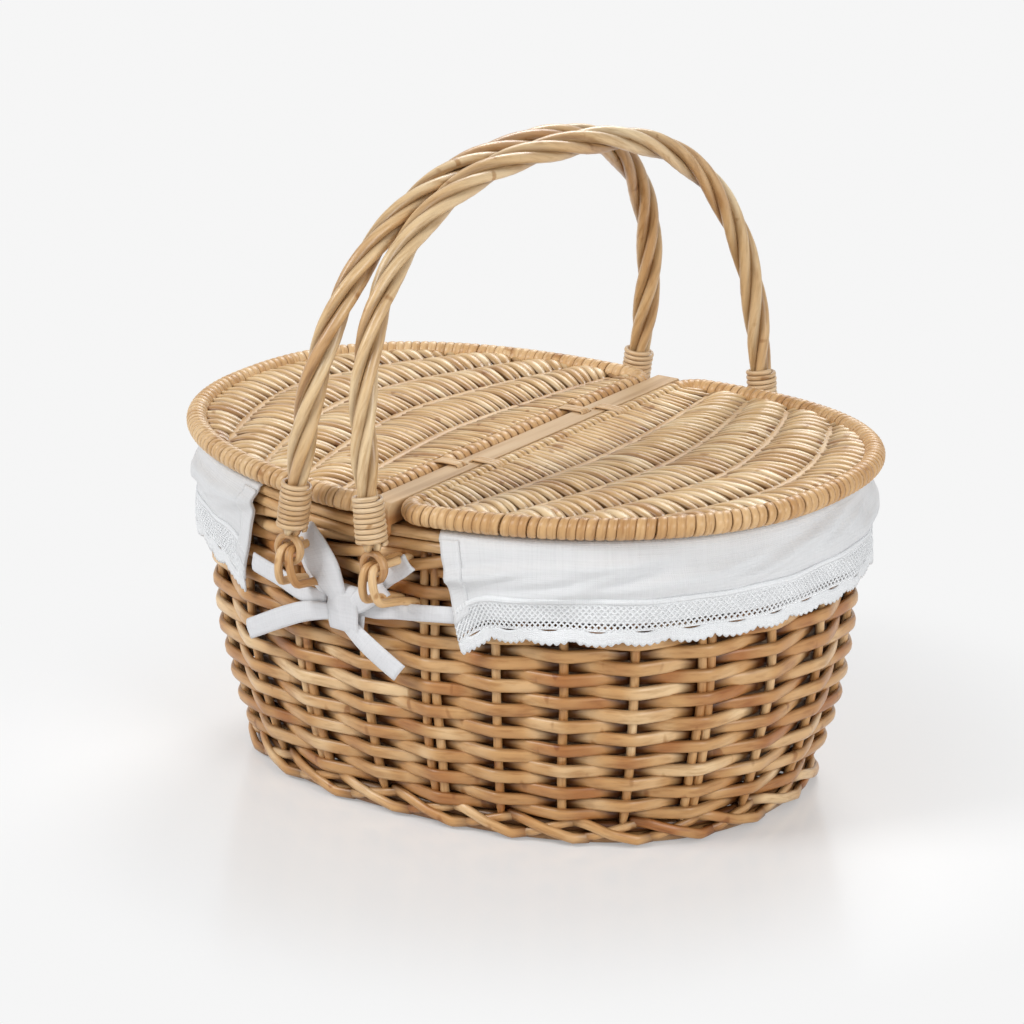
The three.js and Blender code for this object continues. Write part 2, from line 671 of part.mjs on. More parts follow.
function skeinSpot(y, turn, outwards, upwards) {
  const angle = 2 * Math.PI * turn;
  const pitch = (BINDING_LENGTH - SKEIN_WIDTH) / BINDING_TURNS;
  const reach = BINDING_CENTRE / Math.cos(Math.PI / BINDING_STEPS) + outwards;
  const height = BINDING_START + SKEIN_WIDTH / 2 + pitch * turn + upwards;
  return new THREE.Vector3(reach * Math.cos(angle), y + reach * Math.sin(angle), height);
}

function binding(y) {
  const half = SKEIN_THICKNESS / 2;
  const edge = SKEIN_WIDTH / 2;
  const section = [[-half, -edge], [0.45 * half, -edge], [half, 0], [0.45 * half, edge], [-half, edge]];
  const rings = [];
  for (let i = 0; i <= BINDING_TURNS * BINDING_STEPS; i += 1) {
    rings.push(section.map(([outwards, upwards]) => skeinSpot(y, i / BINDING_STEPS, outwards, upwards)));
  }
  const straight = (ring, next) => {
    const step = new THREE.Vector3().subVectors(ring[2], next[2]).setLength(SKEIN_WIDTH);
    return ring.map((point) => point.clone().add(step));
  };
  return loft([straight(rings[0], rings[1]), ...rings, straight(rings.at(-1), rings.at(-2))]);
}

function leastBindingGap() {
  let least = Infinity;
  for (let i = 0; i <= BINDING_STEPS; i += 1) {
    const lowerEdge = skeinSpot(0, 1 + i / BINDING_STEPS, 0, -SKEIN_WIDTH / 2);
    for (let j = -BINDING_STEPS / 2; j <= BINDING_STEPS / 2; j += 1) {
      const upperEdge = skeinSpot(0, (i + j) / BINDING_STEPS, 0, SKEIN_WIDTH / 2);
      least = Math.min(least, lowerEdge.distanceTo(upperEdge));
    }
  }
  return least;
}
console.log('least gap between the turns of a binding, mm:', leastBindingGap().toFixed(2));

// Side loop: the willow loop on the basket's side that a handle's foot hangs in
function sideLoop(span, side, wallReach, spare) {
  const outermost = span + EYE_THICKNESS / 2 + SIDE_LOOP_PLAY + SIDE_LOOP_THICKNESS / 2;
  const inner = wallReach - SIDE_LOOP_DEPTH - spare;
  const bend = outermost - SIDE_LOOP_BEND;
  const flat = [[inner, 0]];
  for (let i = 0; i <= 3; i += 1) {
    const angle = Math.PI / 2 * (1 - i / 3);
    flat.push([bend + SIDE_LOOP_BEND * Math.cos(angle), SIDE_LOOP_BEND * (Math.sin(angle) - 1)]);
  }
  const lower = flat.map(([y, z]) => [y, -SIDE_LOOP_DROP - z]).reverse();
  const path = [...flat, ...lower].map(([y, z]) => new THREE.Vector3(0, side * y, z));
  const half = SIDE_LOOP_WIDTH / 2 + spare;
  const thin = SIDE_LOOP_THICKNESS / 2 + spare;
  const section = [[half, 0], [0.55 * half, thin], [-0.55 * half, thin]];
  const whole = [...section, ...section.map(([u, v]) => [-u, -v])];
  return sweep(path, () => whole, new THREE.Vector3(1, 0, 0));
}

// Cuff: the cloth turned out over the rim, hanging in shallow folds
function cuffAngles(side, count) {
  const [frontX, backX] = side < 0 ? [FRONT_SLIT[0], BACK_SLIT[0]] : [FRONT_SLIT[1], BACK_SLIT[1]];
  return side < 0
    ? evenAngles(angleOfX(backX), 2 * Math.PI - angleOfX(frontX), count)
    : evenAngles(-angleOfX(frontX), angleOfX(backX), count);
}

function cuffLength(side) {
  const [from, to] = cuffAngles(side, 1);
  return lengthAtAngle(to) - lengthAtAngle(from);
}

function scallopCount(side) {
  return Math.round(cuffLength(side) / SCALLOP_LENGTH);
}

// How far the cuff sags at its corners and folds out, with one straight run over each scallop
function cuffShape(side, column) {
  const count = scallopCount(side);
  const at = (step) => {
    const share = step / count;
    const fromEnd = Math.min(share, 1 - share) * cuffLength(side);
    const sag = CORNER_SAG * Math.max(0, 1 - fromEnd / CORNER_REACH) ** 2;
    return [sag, FOLD_DEPTH * (1 - Math.cos(2 * Math.PI * FOLDS_PER_CUFF * share)) / 2];
  };
  const low = Math.min(Math.floor(column), count - 1);
  const between = column - low;
  const [sag, fold] = at(low).map((value, i) => value + (at(low + 1)[i] - value) * between);
  return { sag, fold };
}

function cuff(side) {
  const angles = cuffAngles(side, scallopCount(side));
  const inside = WALL_THICKNESS + BAG_EASE + CLOTH_THICKNESS;
  const rings = angles.map((angle, i) => {
    const { sag, fold } = cuffShape(side, i);
    const face = (outwards) => [
      { inset: -outwards - fold, below: CUFF_DROP + sag },
      { inset: -outwards - 0.6 * fold, below: CUFF_DROP / 2 },
      { inset: -outwards, below: BORDER_ROUNDING },
    ];
    const outer = face(CLOTH_EASE + CLOTH_THICKNESS);
    const inner = face(CLOTH_EASE).reverse();
    return [
      ...outer,
      { inset: 0, below: -FIT_GAP - CLOTH_THICKNESS },
      { inset: inside, below: -FIT_GAP - CLOTH_THICKNESS },
      { inset: inside, below: -FIT_GAP },
      { inset: 0, below: -FIT_GAP },
      ...inner,
    ].map((spot) => wallPoint(angle, spot));
  });
  return loft(rings);
}

function lace(side) {
  const angles = cuffAngles(side, 3 * scallopCount(side));
  const middle = CLOTH_EASE + CLOTH_THICKNESS / 2;
  const rings = angles.map((angle, i) => {
    const { sag, fold } = cuffShape(side, i / 3);
    const scallop = i % 3 === 0 ? 0 : SCALLOP_DEPTH;
    const top = CUFF_DROP + sag + FIT_GAP;
    const bottom = CUFF_DROP + sag + LACE_DROP - SCALLOP_DEPTH + scallop;
    const outer = -middle - fold - LACE_THICKNESS / 2;
    const inner = outer + LACE_THICKNESS;
    return [
      { inset: outer, below: bottom },
      { inset: outer, below: top },
      { inset: inner, below: top },
      { inset: inner, below: bottom },
    ].map((spot) => wallPoint(angle, spot));
  });
  return loft(rings);
}

function linerBag() {
  const bagInset = WALL_THICKNESS + BAG_EASE;
  const floor = BASE_CLEARANCE + BASE_THICKNESS + FIT_GAP;
  const skin = (depth) => [
    WALL_ANGLES.map((angle) => footPoint(angle, BASE_INSET + BAG_EASE + depth, floor + depth)),
    WALL_ANGLES.map((angle) => footPoint(angle, BASE_INSET + BAG_EASE + depth, FOOT_HEIGHT + depth)),
    ...WALL_LEVELS.slice(1, -1).map((level) =>
      WALL_ANGLES.map((angle) => wallPoint(angle, { inset: bagInset + depth, ...level }))),
    WALL_ANGLES.map((angle) => wallPoint(angle, { inset: bagInset + depth, below: 0 })),
  ];
  return loft([...skin(0), ...skin(CLOTH_THICKNESS).reverse()]);
}

// Bow: ribbons that lie on the wall; a spot is x along the wall and z up it
function ribbonPoint(x, z, outwards) {
  const flare = Math.max(0, 1 - z / FLARE_HEIGHT) ** FLARE_POWER;
  const reach = ovalWidthAt(x, WALL_HALF_LENGTH, WALL_HALF_WIDTH) - FLARE_SIDE * flare;
  return new THREE.Vector3(x, -reach - outwards, z);
}

function ribbon(from, to, widths, thicknesses) {
  const steps = Math.max(2, Math.round(Math.hypot(to[0] - from[0], to[1] - from[1]) / RIBBON_STEP));
  const along = [to[0] - from[0], to[1] - from[1]];
  const length = Math.hypot(...along);
  const across = [-along[1] / length, along[0] / length];
  const at = (list, share) => {
    const spot = share * (list.length - 1);
    const low = Math.min(Math.floor(spot), list.length - 2);
    return list[low] + (list[low + 1] - list[low]) * (spot - low);
  };
  const rings = [];
  for (let i = 0; i <= steps; i += 1) {
    const share = i / steps;
    const x = from[0] + along[0] * share;
    const z = from[1] + along[1] * share;
    const half = at(widths, share) / 2;
    const outer = RIBBON_EASE + at(thicknesses, share);
    rings.push([
      ribbonPoint(x - across[0] * half, z - across[1] * half, RIBBON_EASE),
      ribbonPoint(x + across[0] * half, z + across[1] * half, RIBBON_EASE),
      ribbonPoint(x + across[0] * half, z + across[1] * half, outer),
      ribbonPoint(x - across[0] * half, z - across[1] * half, outer),
    ]);
  }
  return loft(rings);
}

function bow(slit) {
  const knot = [KNOT_X, KNOT_Z];
  const fromKnot = ({ across, up }) => [KNOT_X + across, KNOT_Z + up];
  const flat = [RIBBON_THICKNESS, RIBBON_THICKNESS];
  const band = [RIBBON_WIDTH, RIBBON_WIDTH];
  const puffed = [RIBBON_THICKNESS, BOW_LOOP_THICKNESS, RIBBON_THICKNESS];
  const half = KNOT_SIZE / 2;
  const thick = [KNOT_THICKNESS, KNOT_THICKNESS];
  return join(
    ribbon([KNOT_X - half, KNOT_Z], [KNOT_X + half, KNOT_Z], [KNOT_SIZE, KNOT_SIZE], thick),
    ribbon(knot, [slit[0] + TIE_SEAM, KNOT_Z + TIE_RISE], band, flat),
    ribbon(knot, [slit[1] - TIE_SEAM, KNOT_Z + TIE_RISE], band, flat),
    ribbon(knot, fromKnot(TALL_LOOP), TALL_LOOP.widths, puffed),
    ribbon(knot, fromKnot(SHORT_LOOP), SHORT_LOOP.widths, puffed),
    ribbon(knot, fromKnot(LONG_TAIL), band, flat),
    ribbon(knot, fromKnot(SHORT_TAIL), band, flat),
  );
}

// Assembly
const basket = new THREE.Group();

function addMesh(parent, name, geometry, { color, roughness }) {
  const mesh = new THREE.Mesh(geometry, new THREE.MeshStandardMaterial({ color, roughness, metalness: 0 }));
  mesh.name = name;
  parent.add(mesh);
}

function addBase() {
  addMesh(basket, 'base_weave', baseWeave(), DARK_WILLOW);
  for (let i = 0; i < BASE_STICK_COUNT; i += 1) {
    addMesh(basket, `base_stick_${i + 1}`, baseStickRod(i, BASE_STICK_RADIUS, 0), WILLOW);
  }
  addMesh(basket, 'foot_wale', footWale(), DARK_WILLOW);
}

function addLid(label, side) {
  const hinge = new THREE.Group();
  hinge.position.set(side * HINGE_OFFSET, 0, HINGE_HEIGHT);
  hinge.rotation.z = side < 0 ? Math.PI : 0;
  const tilted = new THREE.Group();
  tilted.rotation.y = -LID_TILT;
  hinge.add(tilted);
  basket.add(hinge);
  addMesh(tilted, `lid_${label}_edge`, lidEdge(), WILLOW);
  addMesh(tilted, `lid_${label}_weave`, lidWeave(), PALE_WILLOW);
  for (let i = 0; i < LID_STICK_COUNT; i += 1) {
    addMesh(tilted, `lid_${label}_stick_${i + 1}`, lidStickRod(i, LID_STICK_RADIUS, 0), WILLOW);
  }
  const [frontY, backY] = side < 0
    ? [-HINGE_LOOP_FAR, HINGE_LOOP_NEAR]
    : [-HINGE_LOOP_NEAR, HINGE_LOOP_FAR];
  addMesh(basket, `hinge_loop_${label}_front`, hingeLoop(side, frontY), PALE_WILLOW);
  addMesh(basket, `hinge_loop_${label}_back`, hingeLoop(side, backY), PALE_WILLOW);
}

function wallReach(x) {
  return ovalWidthAt(x, WALL_HALF_LENGTH, WALL_HALF_WIDTH);
}

const HANDLES = [
  { label: 'left', frontX: LEFT_FRONT_X, backX: LEFT_BACK_X, lean: LEFT_LEAN },
  { label: 'right', frontX: RIGHT_FRONT_X, backX: RIGHT_BACK_X, lean: -RIGHT_LEAN },
];

function handlePlace({ frontX, backX }) {
  const group = new THREE.Group();
  group.position.set((frontX + backX) / 2, 0, PIVOT_HEIGHT);
  group.rotation.z = -Math.atan2((backX - frontX) / 2, FOOT_SPREAD);
  return group;
}

// The loops' sockets in the wall, in the basket's own frame
function loopSockets() {
  return HANDLES.flatMap((handle) => {
    const place = handlePlace(handle);
    place.updateMatrix();
    const span = handleSpan(handle.frontX, handle.backX);
    return [[-1, handle.frontX], [1, handle.backX]].map(([side, x]) =>
      sideLoop(span, side, wallReach(x), FIT_GAP).applyMatrix4(place.matrix));
  });
}

function addWall() {
  const sockets = loopSockets();
  addMesh(basket, 'side_weave', sideWeave(sockets), WILLOW);
  addMesh(basket, 'upper_wale', upperWale(sockets), WILLOW);
  addMesh(basket, 'rim_border', rimBorder(), DARK_WILLOW);
  addMesh(basket, 'bridge_slat', bridgeSlat(), BARE_WOOD);
}

function addHandle(handle) {
  const { label, frontX, backX, lean } = handle;
  const place = handlePlace(handle);
  const leaning = new THREE.Group();
  leaning.rotation.y = THREE.MathUtils.degToRad(lean);
  place.add(leaning);
  basket.add(place);
  const span = handleSpan(frontX, backX);
  addMesh(leaning, `handle_${label}`, handleArch(span), PALE_WILLOW);
  addMesh(leaning, `binding_${label}_front`, binding(-span), PALE_WILLOW);
  addMesh(leaning, `binding_${label}_back`, binding(span), PALE_WILLOW);
  addMesh(place, `side_loop_${label}_front`, sideLoop(span, -1, wallReach(frontX), 0), WILLOW);
  addMesh(place, `side_loop_${label}_back`, sideLoop(span, 1, wallReach(backX), 0), WILLOW);
}

function addLining() {
  addMesh(basket, 'liner_bag', linerBag(), COTTON);
  for (const [label, side] of [['left', -1], ['right', 1]]) {
    addMesh(basket, `cuff_${label}`, cuff(side), COTTON);
    addMesh(basket, `lace_${label}`, lace(side), LACE);
  }
  addMesh(basket, 'bow_front', bow(FRONT_SLIT), COTTON);
  const turned = new THREE.Group();
  turned.rotation.z = Math.PI;
  basket.add(turned);
  addMesh(turned, 'bow_back', bow([-BACK_SLIT[1], -BACK_SLIT[0]]), COTTON);
}

addBase();
addWall();
addLid('left', -1);
addLid('right', 1);
HANDLES.forEach(addHandle);
addLining();

export default basket;
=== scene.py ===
# %% [markdown]
# A picnic basket in woven willow, dressed over its imported frame.
# The frame brings every solid and every moving body in one shared place, in metres.
# This lesson lays rods, cloth and lace exactly where those solids are, one piece after
# another, and hides each solid once something fuller stands for it.
# First the scene is emptied and the frame comes in.
# Lengths of rods and cloth are in millimetres below, and MM makes metres of them when a
# mesh is made. Camera, lamps, modifiers and finishes are in metres.

import json
import math

import bpy
import numpy as np
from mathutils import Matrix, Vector
from mathutils.geometry import convex_hull_2d

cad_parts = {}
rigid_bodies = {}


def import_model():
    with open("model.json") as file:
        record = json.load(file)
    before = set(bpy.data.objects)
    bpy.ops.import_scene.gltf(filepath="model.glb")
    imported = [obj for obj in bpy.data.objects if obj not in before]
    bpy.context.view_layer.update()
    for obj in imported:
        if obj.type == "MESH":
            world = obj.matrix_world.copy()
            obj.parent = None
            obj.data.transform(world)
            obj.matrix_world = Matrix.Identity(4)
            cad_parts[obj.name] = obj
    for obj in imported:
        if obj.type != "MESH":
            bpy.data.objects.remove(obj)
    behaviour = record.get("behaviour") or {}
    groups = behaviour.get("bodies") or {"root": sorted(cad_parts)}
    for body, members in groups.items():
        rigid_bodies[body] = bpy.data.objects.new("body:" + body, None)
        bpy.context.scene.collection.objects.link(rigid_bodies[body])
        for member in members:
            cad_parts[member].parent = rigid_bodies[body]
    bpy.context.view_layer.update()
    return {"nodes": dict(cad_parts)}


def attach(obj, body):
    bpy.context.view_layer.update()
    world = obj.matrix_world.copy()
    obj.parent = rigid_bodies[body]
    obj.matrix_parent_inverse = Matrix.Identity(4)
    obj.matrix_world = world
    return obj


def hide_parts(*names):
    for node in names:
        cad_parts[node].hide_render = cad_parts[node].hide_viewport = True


for leftover in list(bpy.data.objects):
    bpy.data.objects.remove(leftover)

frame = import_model()
MM = 0.001
chance = np.random.default_rng(11)
print("solids in the frame:", len(frame["nodes"]))

# %% [markdown]
# The camera stands where the photograph was taken from, a little above the lids and
# turned a little over a third of a right angle to the basket's front, with a long lens.
# Its place was worked out from the rim's oval and the basket's length and width.

# %% Camera
CAMERA_PLACE = Vector((1.2325, -1.8490, 0.8525))
CAMERA_AIM = Vector((-0.0164, 0.0059, 0.1337))
CAMERA_LENS, SENSOR_WIDTH = 151.1, 36


def aim_at(thing, place, aim):
    thing.rotation_euler = (Vector(aim) - Vector(place)).to_track_quat("-Z", "Y").to_euler()


bpy.ops.object.camera_add(location=CAMERA_PLACE)
camera = bpy.context.object
camera.data.lens = CAMERA_LENS
camera.data.sensor_width = SENSOR_WIDTH
aim_at(camera, CAMERA_PLACE, CAMERA_AIM)
bpy.context.scene.camera = camera
bpy.context.scene.view_settings.view_transform = "Standard"
print("camera to basket, m:", round((CAMERA_PLACE - CAMERA_AIM).length, 3))

# %% [markdown]
# A finish is a tree of nodes. A few helpers keep the trees short: one adds a node and
# fills its sockets with numbers, colours or links, and the others make the nodes that
# come back in every finish: arithmetic, noise, a colour ramp, a product of two colours,
# an attribute of the mesh, the two parts of the UV map, and a bump.

# %% Helpers for finishes
def set_inputs(tree, node, values):
    for name, value in values.items():
        if isinstance(value, bpy.types.NodeSocket):
            tree.links.new(value, node.inputs[name])
        else:
            node.inputs[name].default_value = value


def add_node(tree, kind, values=None):
    node = tree.nodes.new("ShaderNode" + kind)
    set_inputs(tree, node, values or {})
    return node


def new_material(name):
    material = bpy.data.materials.new(name)
    material.use_nodes = True
    return material, material.node_tree, material.node_tree.nodes["Principled BSDF"]


def value_node(tree, operation, first, second=0.0, clamp=False):
    node = add_node(tree, "Math", {0: first, 1: second})
    node.operation = operation
    node.use_clamp = clamp
    return node.outputs[0]


def noise_node(tree, vector, detail):
    noise = add_node(tree, "TexNoise", {"Scale": 1, "Detail": detail, "Vector": vector})
    return noise.outputs["Fac"]


def ramp_node(tree, factor, stops):
    node = add_node(tree, "ValToRGB", {"Fac": factor})
    while len(node.color_ramp.elements) < len(stops):
        node.color_ramp.elements.new(0.5)
    for element, (place, colour) in zip(node.color_ramp.elements, stops):
        element.position = place
        element.color = (*colour, 1)
    return node.outputs["Color"]


def multiply_node(tree, first, second):
    node = add_node(tree, "Mix")
    node.data_type = "RGBA"
    node.blend_type = "MULTIPLY"
    set_inputs(tree, node, {"Factor": 1, "A": first, "B": second})
    return node.outputs["Result"]


def attribute_node(tree, name):
    node = add_node(tree, "Attribute")
    node.attribute_name = name
    return node.outputs["Fac"]


def uv_parts(tree):
    uv = add_node(tree, "UVMap")
    uv.uv_map = "UVMap"
    split = add_node(tree, "SeparateXYZ", {0: uv.outputs["UV"]})
    return split.outputs[0], split.outputs[1]


def scaled_vector(tree, parts, scales):
    scaled = [value_node(tree, "MULTIPLY", part, scale) for part, scale in zip(parts, scales)]
    return add_node(tree, "CombineXYZ", dict(enumerate(scaled))).outputs[0]


def add_bump(tree, shader, height, strength, distance):
    bump = add_node(tree, "Bump", {"Strength": strength, "Distance": distance, "Height": height})
    set_inputs(tree, shader, {"Normal": bump.outputs[0]})


def grey(level):
    return level, level, level, 1


# %% [markdown]
# The room is a pale table under soft lamps. The table is a little glossy, so the basket
# stands on its own faint reflection. Towards the camera the floor and the world have a
# plain near-white of their own, which leaves the shadow under the basket and fades the
# floor out into the backdrop. One big lamp over the left shoulder models the rods, a
# lamp from behind puts the sheen on the lids, and a weak one opens the shade.

# %% Floor and lamps
FLOOR_SIZE, FLOOR_LEVEL = 14, -0.0004
FLOOR_GREY, FLOOR_ROUGHNESS, FLOOR_GLOSS = 0.9, 0.17, 0.5
BACKDROP_WHITE = 0.92
SHADOW_SHARE = 0.68
SHADOW_NEAR, SHADOW_FAR = 0.21, 0.38
ROOM_COLOUR, ROOM_STRENGTH = (0.96, 0.98, 1, 1), 0.36
LAMP_AIM = (0, 0, 0.13)
LAMPS = {"key lamp": ((-1.3, -1.9, 2.0), 1.2, 46),
         "side lamp": ((2.3, -0.9, 1.2), 1.3, 32),
         "back lamp": ((-0.7, 2.0, 1.9), 1.3, 34)}


def seen_directly(tree):
    path = add_node(tree, "LightPath").outputs
    seen = value_node(tree, "ADD", path["Is Camera Ray"], path["Is Glossy Ray"], True)
    return value_node(tree, "ADD", seen, path["Is Transmission Ray"], True)


def mix_shaders(tree, share, first, second, output):
    mix = add_node(tree, "MixShader", {"Fac": share, 1: first.outputs[0], 2: second.outputs[0]})
    set_inputs(tree, tree.nodes[output], {"Surface": mix.outputs[0]})


bpy.ops.mesh.primitive_plane_add(size=FLOOR_SIZE, location=(0, 0, FLOOR_LEVEL))
floor = bpy.context.object
floor.name = "floor"
floor_material, tree, shader = new_material("pale floor")
set_inputs(tree, shader, {"Base Color": grey(FLOOR_GREY), "Roughness": FLOOR_ROUGHNESS,
                          "Specular IOR Level": FLOOR_GLOSS})
plain = add_node(tree, "Emission", {"Color": grey(BACKDROP_WHITE)})
place = add_node(tree, "TexCoord")
length = add_node(tree, "VectorMath", {0: place.outputs["Object"]})
length.operation = "LENGTH"
fade = add_node(tree, "MapRange", {"From Min": SHADOW_NEAR, "From Max": SHADOW_FAR,
                                   "To Min": 1 - SHADOW_SHARE, "To Max": 1,
                                   "Value": length.outputs["Value"]})
fade.interpolation_type = "SMOOTHSTEP"
share = value_node(tree, "MULTIPLY", fade.outputs[0], seen_directly(tree))
mix_shaders(tree, share, shader, plain, "Material Output")
floor.data.materials.append(floor_material)

for name, (place, size, power) in LAMPS.items():
    bpy.ops.object.light_add(type="AREA", location=place)
    lamp = bpy.context.object
    lamp.name = name
    lamp.data.shape = "DISK"
    lamp.data.size = size
    lamp.data.energy = power
    aim_at(lamp, place, LAMP_AIM)

world = bpy.data.worlds.new("studio")
bpy.context.scene.world = world
world.use_nodes = True
tree = world.node_tree
room_light = tree.nodes["Background"]
set_inputs(tree, room_light, {"Color": ROOM_COLOUR, "Strength": ROOM_STRENGTH})
backdrop = add_node(tree, "Background", {"Color": grey(BACKDROP_WHITE)})
mix_shaders(tree, seen_directly(tree), room_light, backdrop, "World Output")
print("lamps:", len(LAMPS))

# %% [markdown]
# Peeled willow runs from straw to orange brown, along one rod and from rod to rod. So
# the finish doesn't paint the object, it paints rods: each rod carries a UV map, with
# its length in metres in U and once round in V, a number of its own in the attribute
# rod, and in the attribute shade how deep it lies in the weave. The finish paints shade
# there: it darkens the colour towards dark brown, as shadow would. Long noise along U
# gives the tone, fine noise gives the grain, and a rare short band is the scar of a side
# shoot. A noise is given as its scales along the rod, round the rod and from rod to rod.

# %% Willow
STREAKS = [(0.3, (0.74, 0.66, 0.56)), (0.5, (0.97, 0.97, 0.96)), (0.72, (1.04, 1.04, 1.03))]
SCARS = [(0.74, (1, 1, 1)), (0.80, (0.66, 0.53, 0.40))]
# PAINTED_SHADE is painted shade, read from the attribute shade.
PAINTED_SHADE = [(0.15, (1, 1, 1)), (1.0, (0.20, 0.125, 0.07))]
SLOW_SHARE, OWN_SHARE, TONE_HALF = 0.6, 0.4, 0.17
GRAIN_STRENGTH, GRAIN_DEPTH = 0.35, 0.0006
WILLOW_GLOSS, COAT_ROUGHNESS = 0.35, 0.3


def willow(name, deep, middle, pale, roughness, spread=1.0, coat=0.15, patch=14):
    material, tree, shader = new_material(name)
    parts = (*uv_parts(tree), attribute_node(tree, "rod"))

    def noise(scales, detail):
        return noise_node(tree, scaled_vector(tree, parts, scales), detail)

    slow = value_node(tree, "MULTIPLY", noise((patch, 0.4, 53), 2), SLOW_SHARE)
    own = value_node(tree, "MULTIPLY", noise((0, 0, 211), 0), OWN_SHARE)
    half = TONE_HALF * spread
    colour = ramp_node(tree, value_node(tree, "ADD", slow, own),
                       [(0.5 - half, deep), (0.5, middle), (0.5 + half, pale)])
    grain = noise((70, 9, 91), 4)
    scar = noise((130, 1.2, 17), 0)
    # The last of these ramps darkens the colour by the attribute shade: painted shade.
    for factor, stops in ((grain, STREAKS), (scar, SCARS), (attribute_node(tree, "shade"), PAINTED_SHADE)):
        colour = multiply_node(tree, colour, ramp_node(tree, factor, stops))
    add_bump(tree, shader, grain, GRAIN_STRENGTH, GRAIN_DEPTH)
    set_inputs(tree, shader, {"Base Color": colour, "Roughness": roughness,
                              "Specular IOR Level": WILLOW_GLOSS, "Coat Weight": coat,
                              "Coat Roughness": COAT_ROUGHNESS})
    return material


wall_willow = willow("wall willow", (0.40, 0.155, 0.040), (0.58, 0.32, 0.125),
                     (0.80, 0.56, 0.31), 0.40, spread=0.72, coat=0.25, patch=26)
rim_willow = willow("rim willow", (0.46, 0.23, 0.08), (0.63, 0.38, 0.17),
                    (0.76, 0.52, 0.28), 0.4)
lid_willow = willow("lid willow", (0.44, 0.23, 0.08), (0.67, 0.44, 0.205),
                    (0.85, 0.67, 0.42), 0.38, spread=0.9, coat=0.25, patch=22)
stick_willow = willow("stick willow", (0.46, 0.25, 0.095), (0.58, 0.36, 0.16),
                      (0.70, 0.48, 0.25), 0.5)
handle_willow = willow("handle willow", (0.48, 0.25, 0.10), (0.67, 0.45, 0.23),
                       (0.82, 0.64, 0.40), 0.34, coat=0.3)
skein_willow = willow("skein willow", (0.48, 0.28, 0.12), (0.66, 0.45, 0.25),
                      (0.80, 0.62, 0.41), 0.4)
print("willow finishes:", sum(m.name.endswith("willow") for m in bpy.data.materials))

# %% [markdown]
# Everything woven is rods, and each rod is wider along the weave than through it. A
# bevelled curve would do for round rods, but it can't keep the flat side of a rod
# against the wall while the rod winds in and out. So one helper lays rods as rings of
# points: along a path, with the wide direction given at each step. A power below 1 in
# square makes the section less round, blunt ends are a little thinner, and edge adds
# painted shade to the two narrow sides, where a rod lies against its neighbours, by
# raising the attribute shade there. A second helper closes the ends, turns the faces
# outwards and makes the piece with its UV map and attributes.
# Others make the small unevenness of handwork and walk a path in even steps.

# %% Laying rods
BLUNT_END = 0.62
EDGE_FADE = 3


def unit(vectors):
    return vectors / np.maximum(np.linalg.norm(vectors, axis=-1, keepdims=True), 1e-9)


def walk_along(path):
    return np.r_[0, np.cumsum(np.linalg.norm(np.diff(path, axis=0), axis=1))]


def wander(count, knots, size):
    values = chance.normal(0, size, knots + 2)
    spot = np.linspace(0, knots, count)
    low = np.minimum(spot.astype(int), knots)
    share = (1 - np.cos(np.pi * (spot - low))) / 2
    return values[low] * (1 - share) + values[low + 1] * share


def even_steps(path, step, closed=False):
    path = np.asarray(path, float)
    if closed:
        path = np.vstack([path, path[:1]])
    lengths = walk_along(path)
    count = max(2, int(round(lengths[-1] / step)))
    spots = np.linspace(0, lengths[-1], count + 1)
    if closed:
        spots = spots[:-1]
    return np.stack([np.interp(spots, lengths, values) for values in path.T], axis=1)


def rounded(values, power):
    return np.sign(values) * abs(values) ** power


def rod(path, side, width, thick, closed=False, corners=8, shade=0.0, mark=None, square=1.0,
        edge=0.0):
    path = np.asarray(path, float)
    count = len(path)
    width = np.broadcast_to(np.asarray(width, float), count).copy()
    thick = np.broadcast_to(np.asarray(thick, float), count).copy()
    if closed:
        tangent = unit(np.roll(path, -1, 0) - np.roll(path, 1, 0))
    else:
        tangent = unit(np.gradient(path, axis=0))
        for end in (0, -1):
            width[end] *= BLUNT_END
            thick[end] *= BLUNT_END
    side = np.broadcast_to(np.asarray(side, float), path.shape)
    side = unit(side - (side * tangent).sum(1)[:, None] * tangent)
    other = np.cross(tangent, side)
    turn = np.linspace(0, 2 * np.pi, corners, endpoint=False)
    across = width[:, None] / 2 * rounded(np.cos(turn), square)
    through = thick[:, None] / 2 * rounded(np.sin(turn), square)
    rings = (path[:, None] + across[..., None] * side[:, None]
             + through[..., None] * other[:, None])
    follow = np.roll(path, -1, 0) if closed else path[1:]
    steps = np.linalg.norm(follow - path[:len(follow)], axis=1)
    shade = np.broadcast_to(np.asarray(shade, float), count)[:, None]
    # edge paints shade on the narrow sides of the rod, where its neighbours would shade it.
    return {"rings": rings, "lengths": np.r_[0, np.cumsum(steps)], "closed": closed,
            "shade": shade + edge * abs(np.cos(turn)) ** EDGE_FADE,
            "mark": chance.random() if mark is None else mark}


def new_piece(name, points, faces, uvs, attributes, material, body, stands_for):
    mesh = bpy.data.meshes.new(name)
    mesh.from_pydata((np.vstack(points) * MM).tolist(), [], faces)
    layer = mesh.uv_layers.new(name="UVMap")
    layer.data.foreach_set("uv", np.asarray(uvs, np.float32).ravel())
    for label, values in attributes.items():
        attribute = mesh.attributes.new(label, "FLOAT", "POINT")
        attribute.data.foreach_set("value", np.concatenate(values).astype(np.float32))
    mesh.polygons.foreach_set("use_smooth", [True] * len(mesh.polygons))
    mesh.materials.append(material)
    piece = bpy.data.objects.new(name, mesh)
    bpy.context.scene.collection.objects.link(piece)
    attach(piece, body)
    if stands_for:
        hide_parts(*stands_for)
    print(f"{name}: {sum(len(face) - 2 for face in faces)} triangles")
    return piece


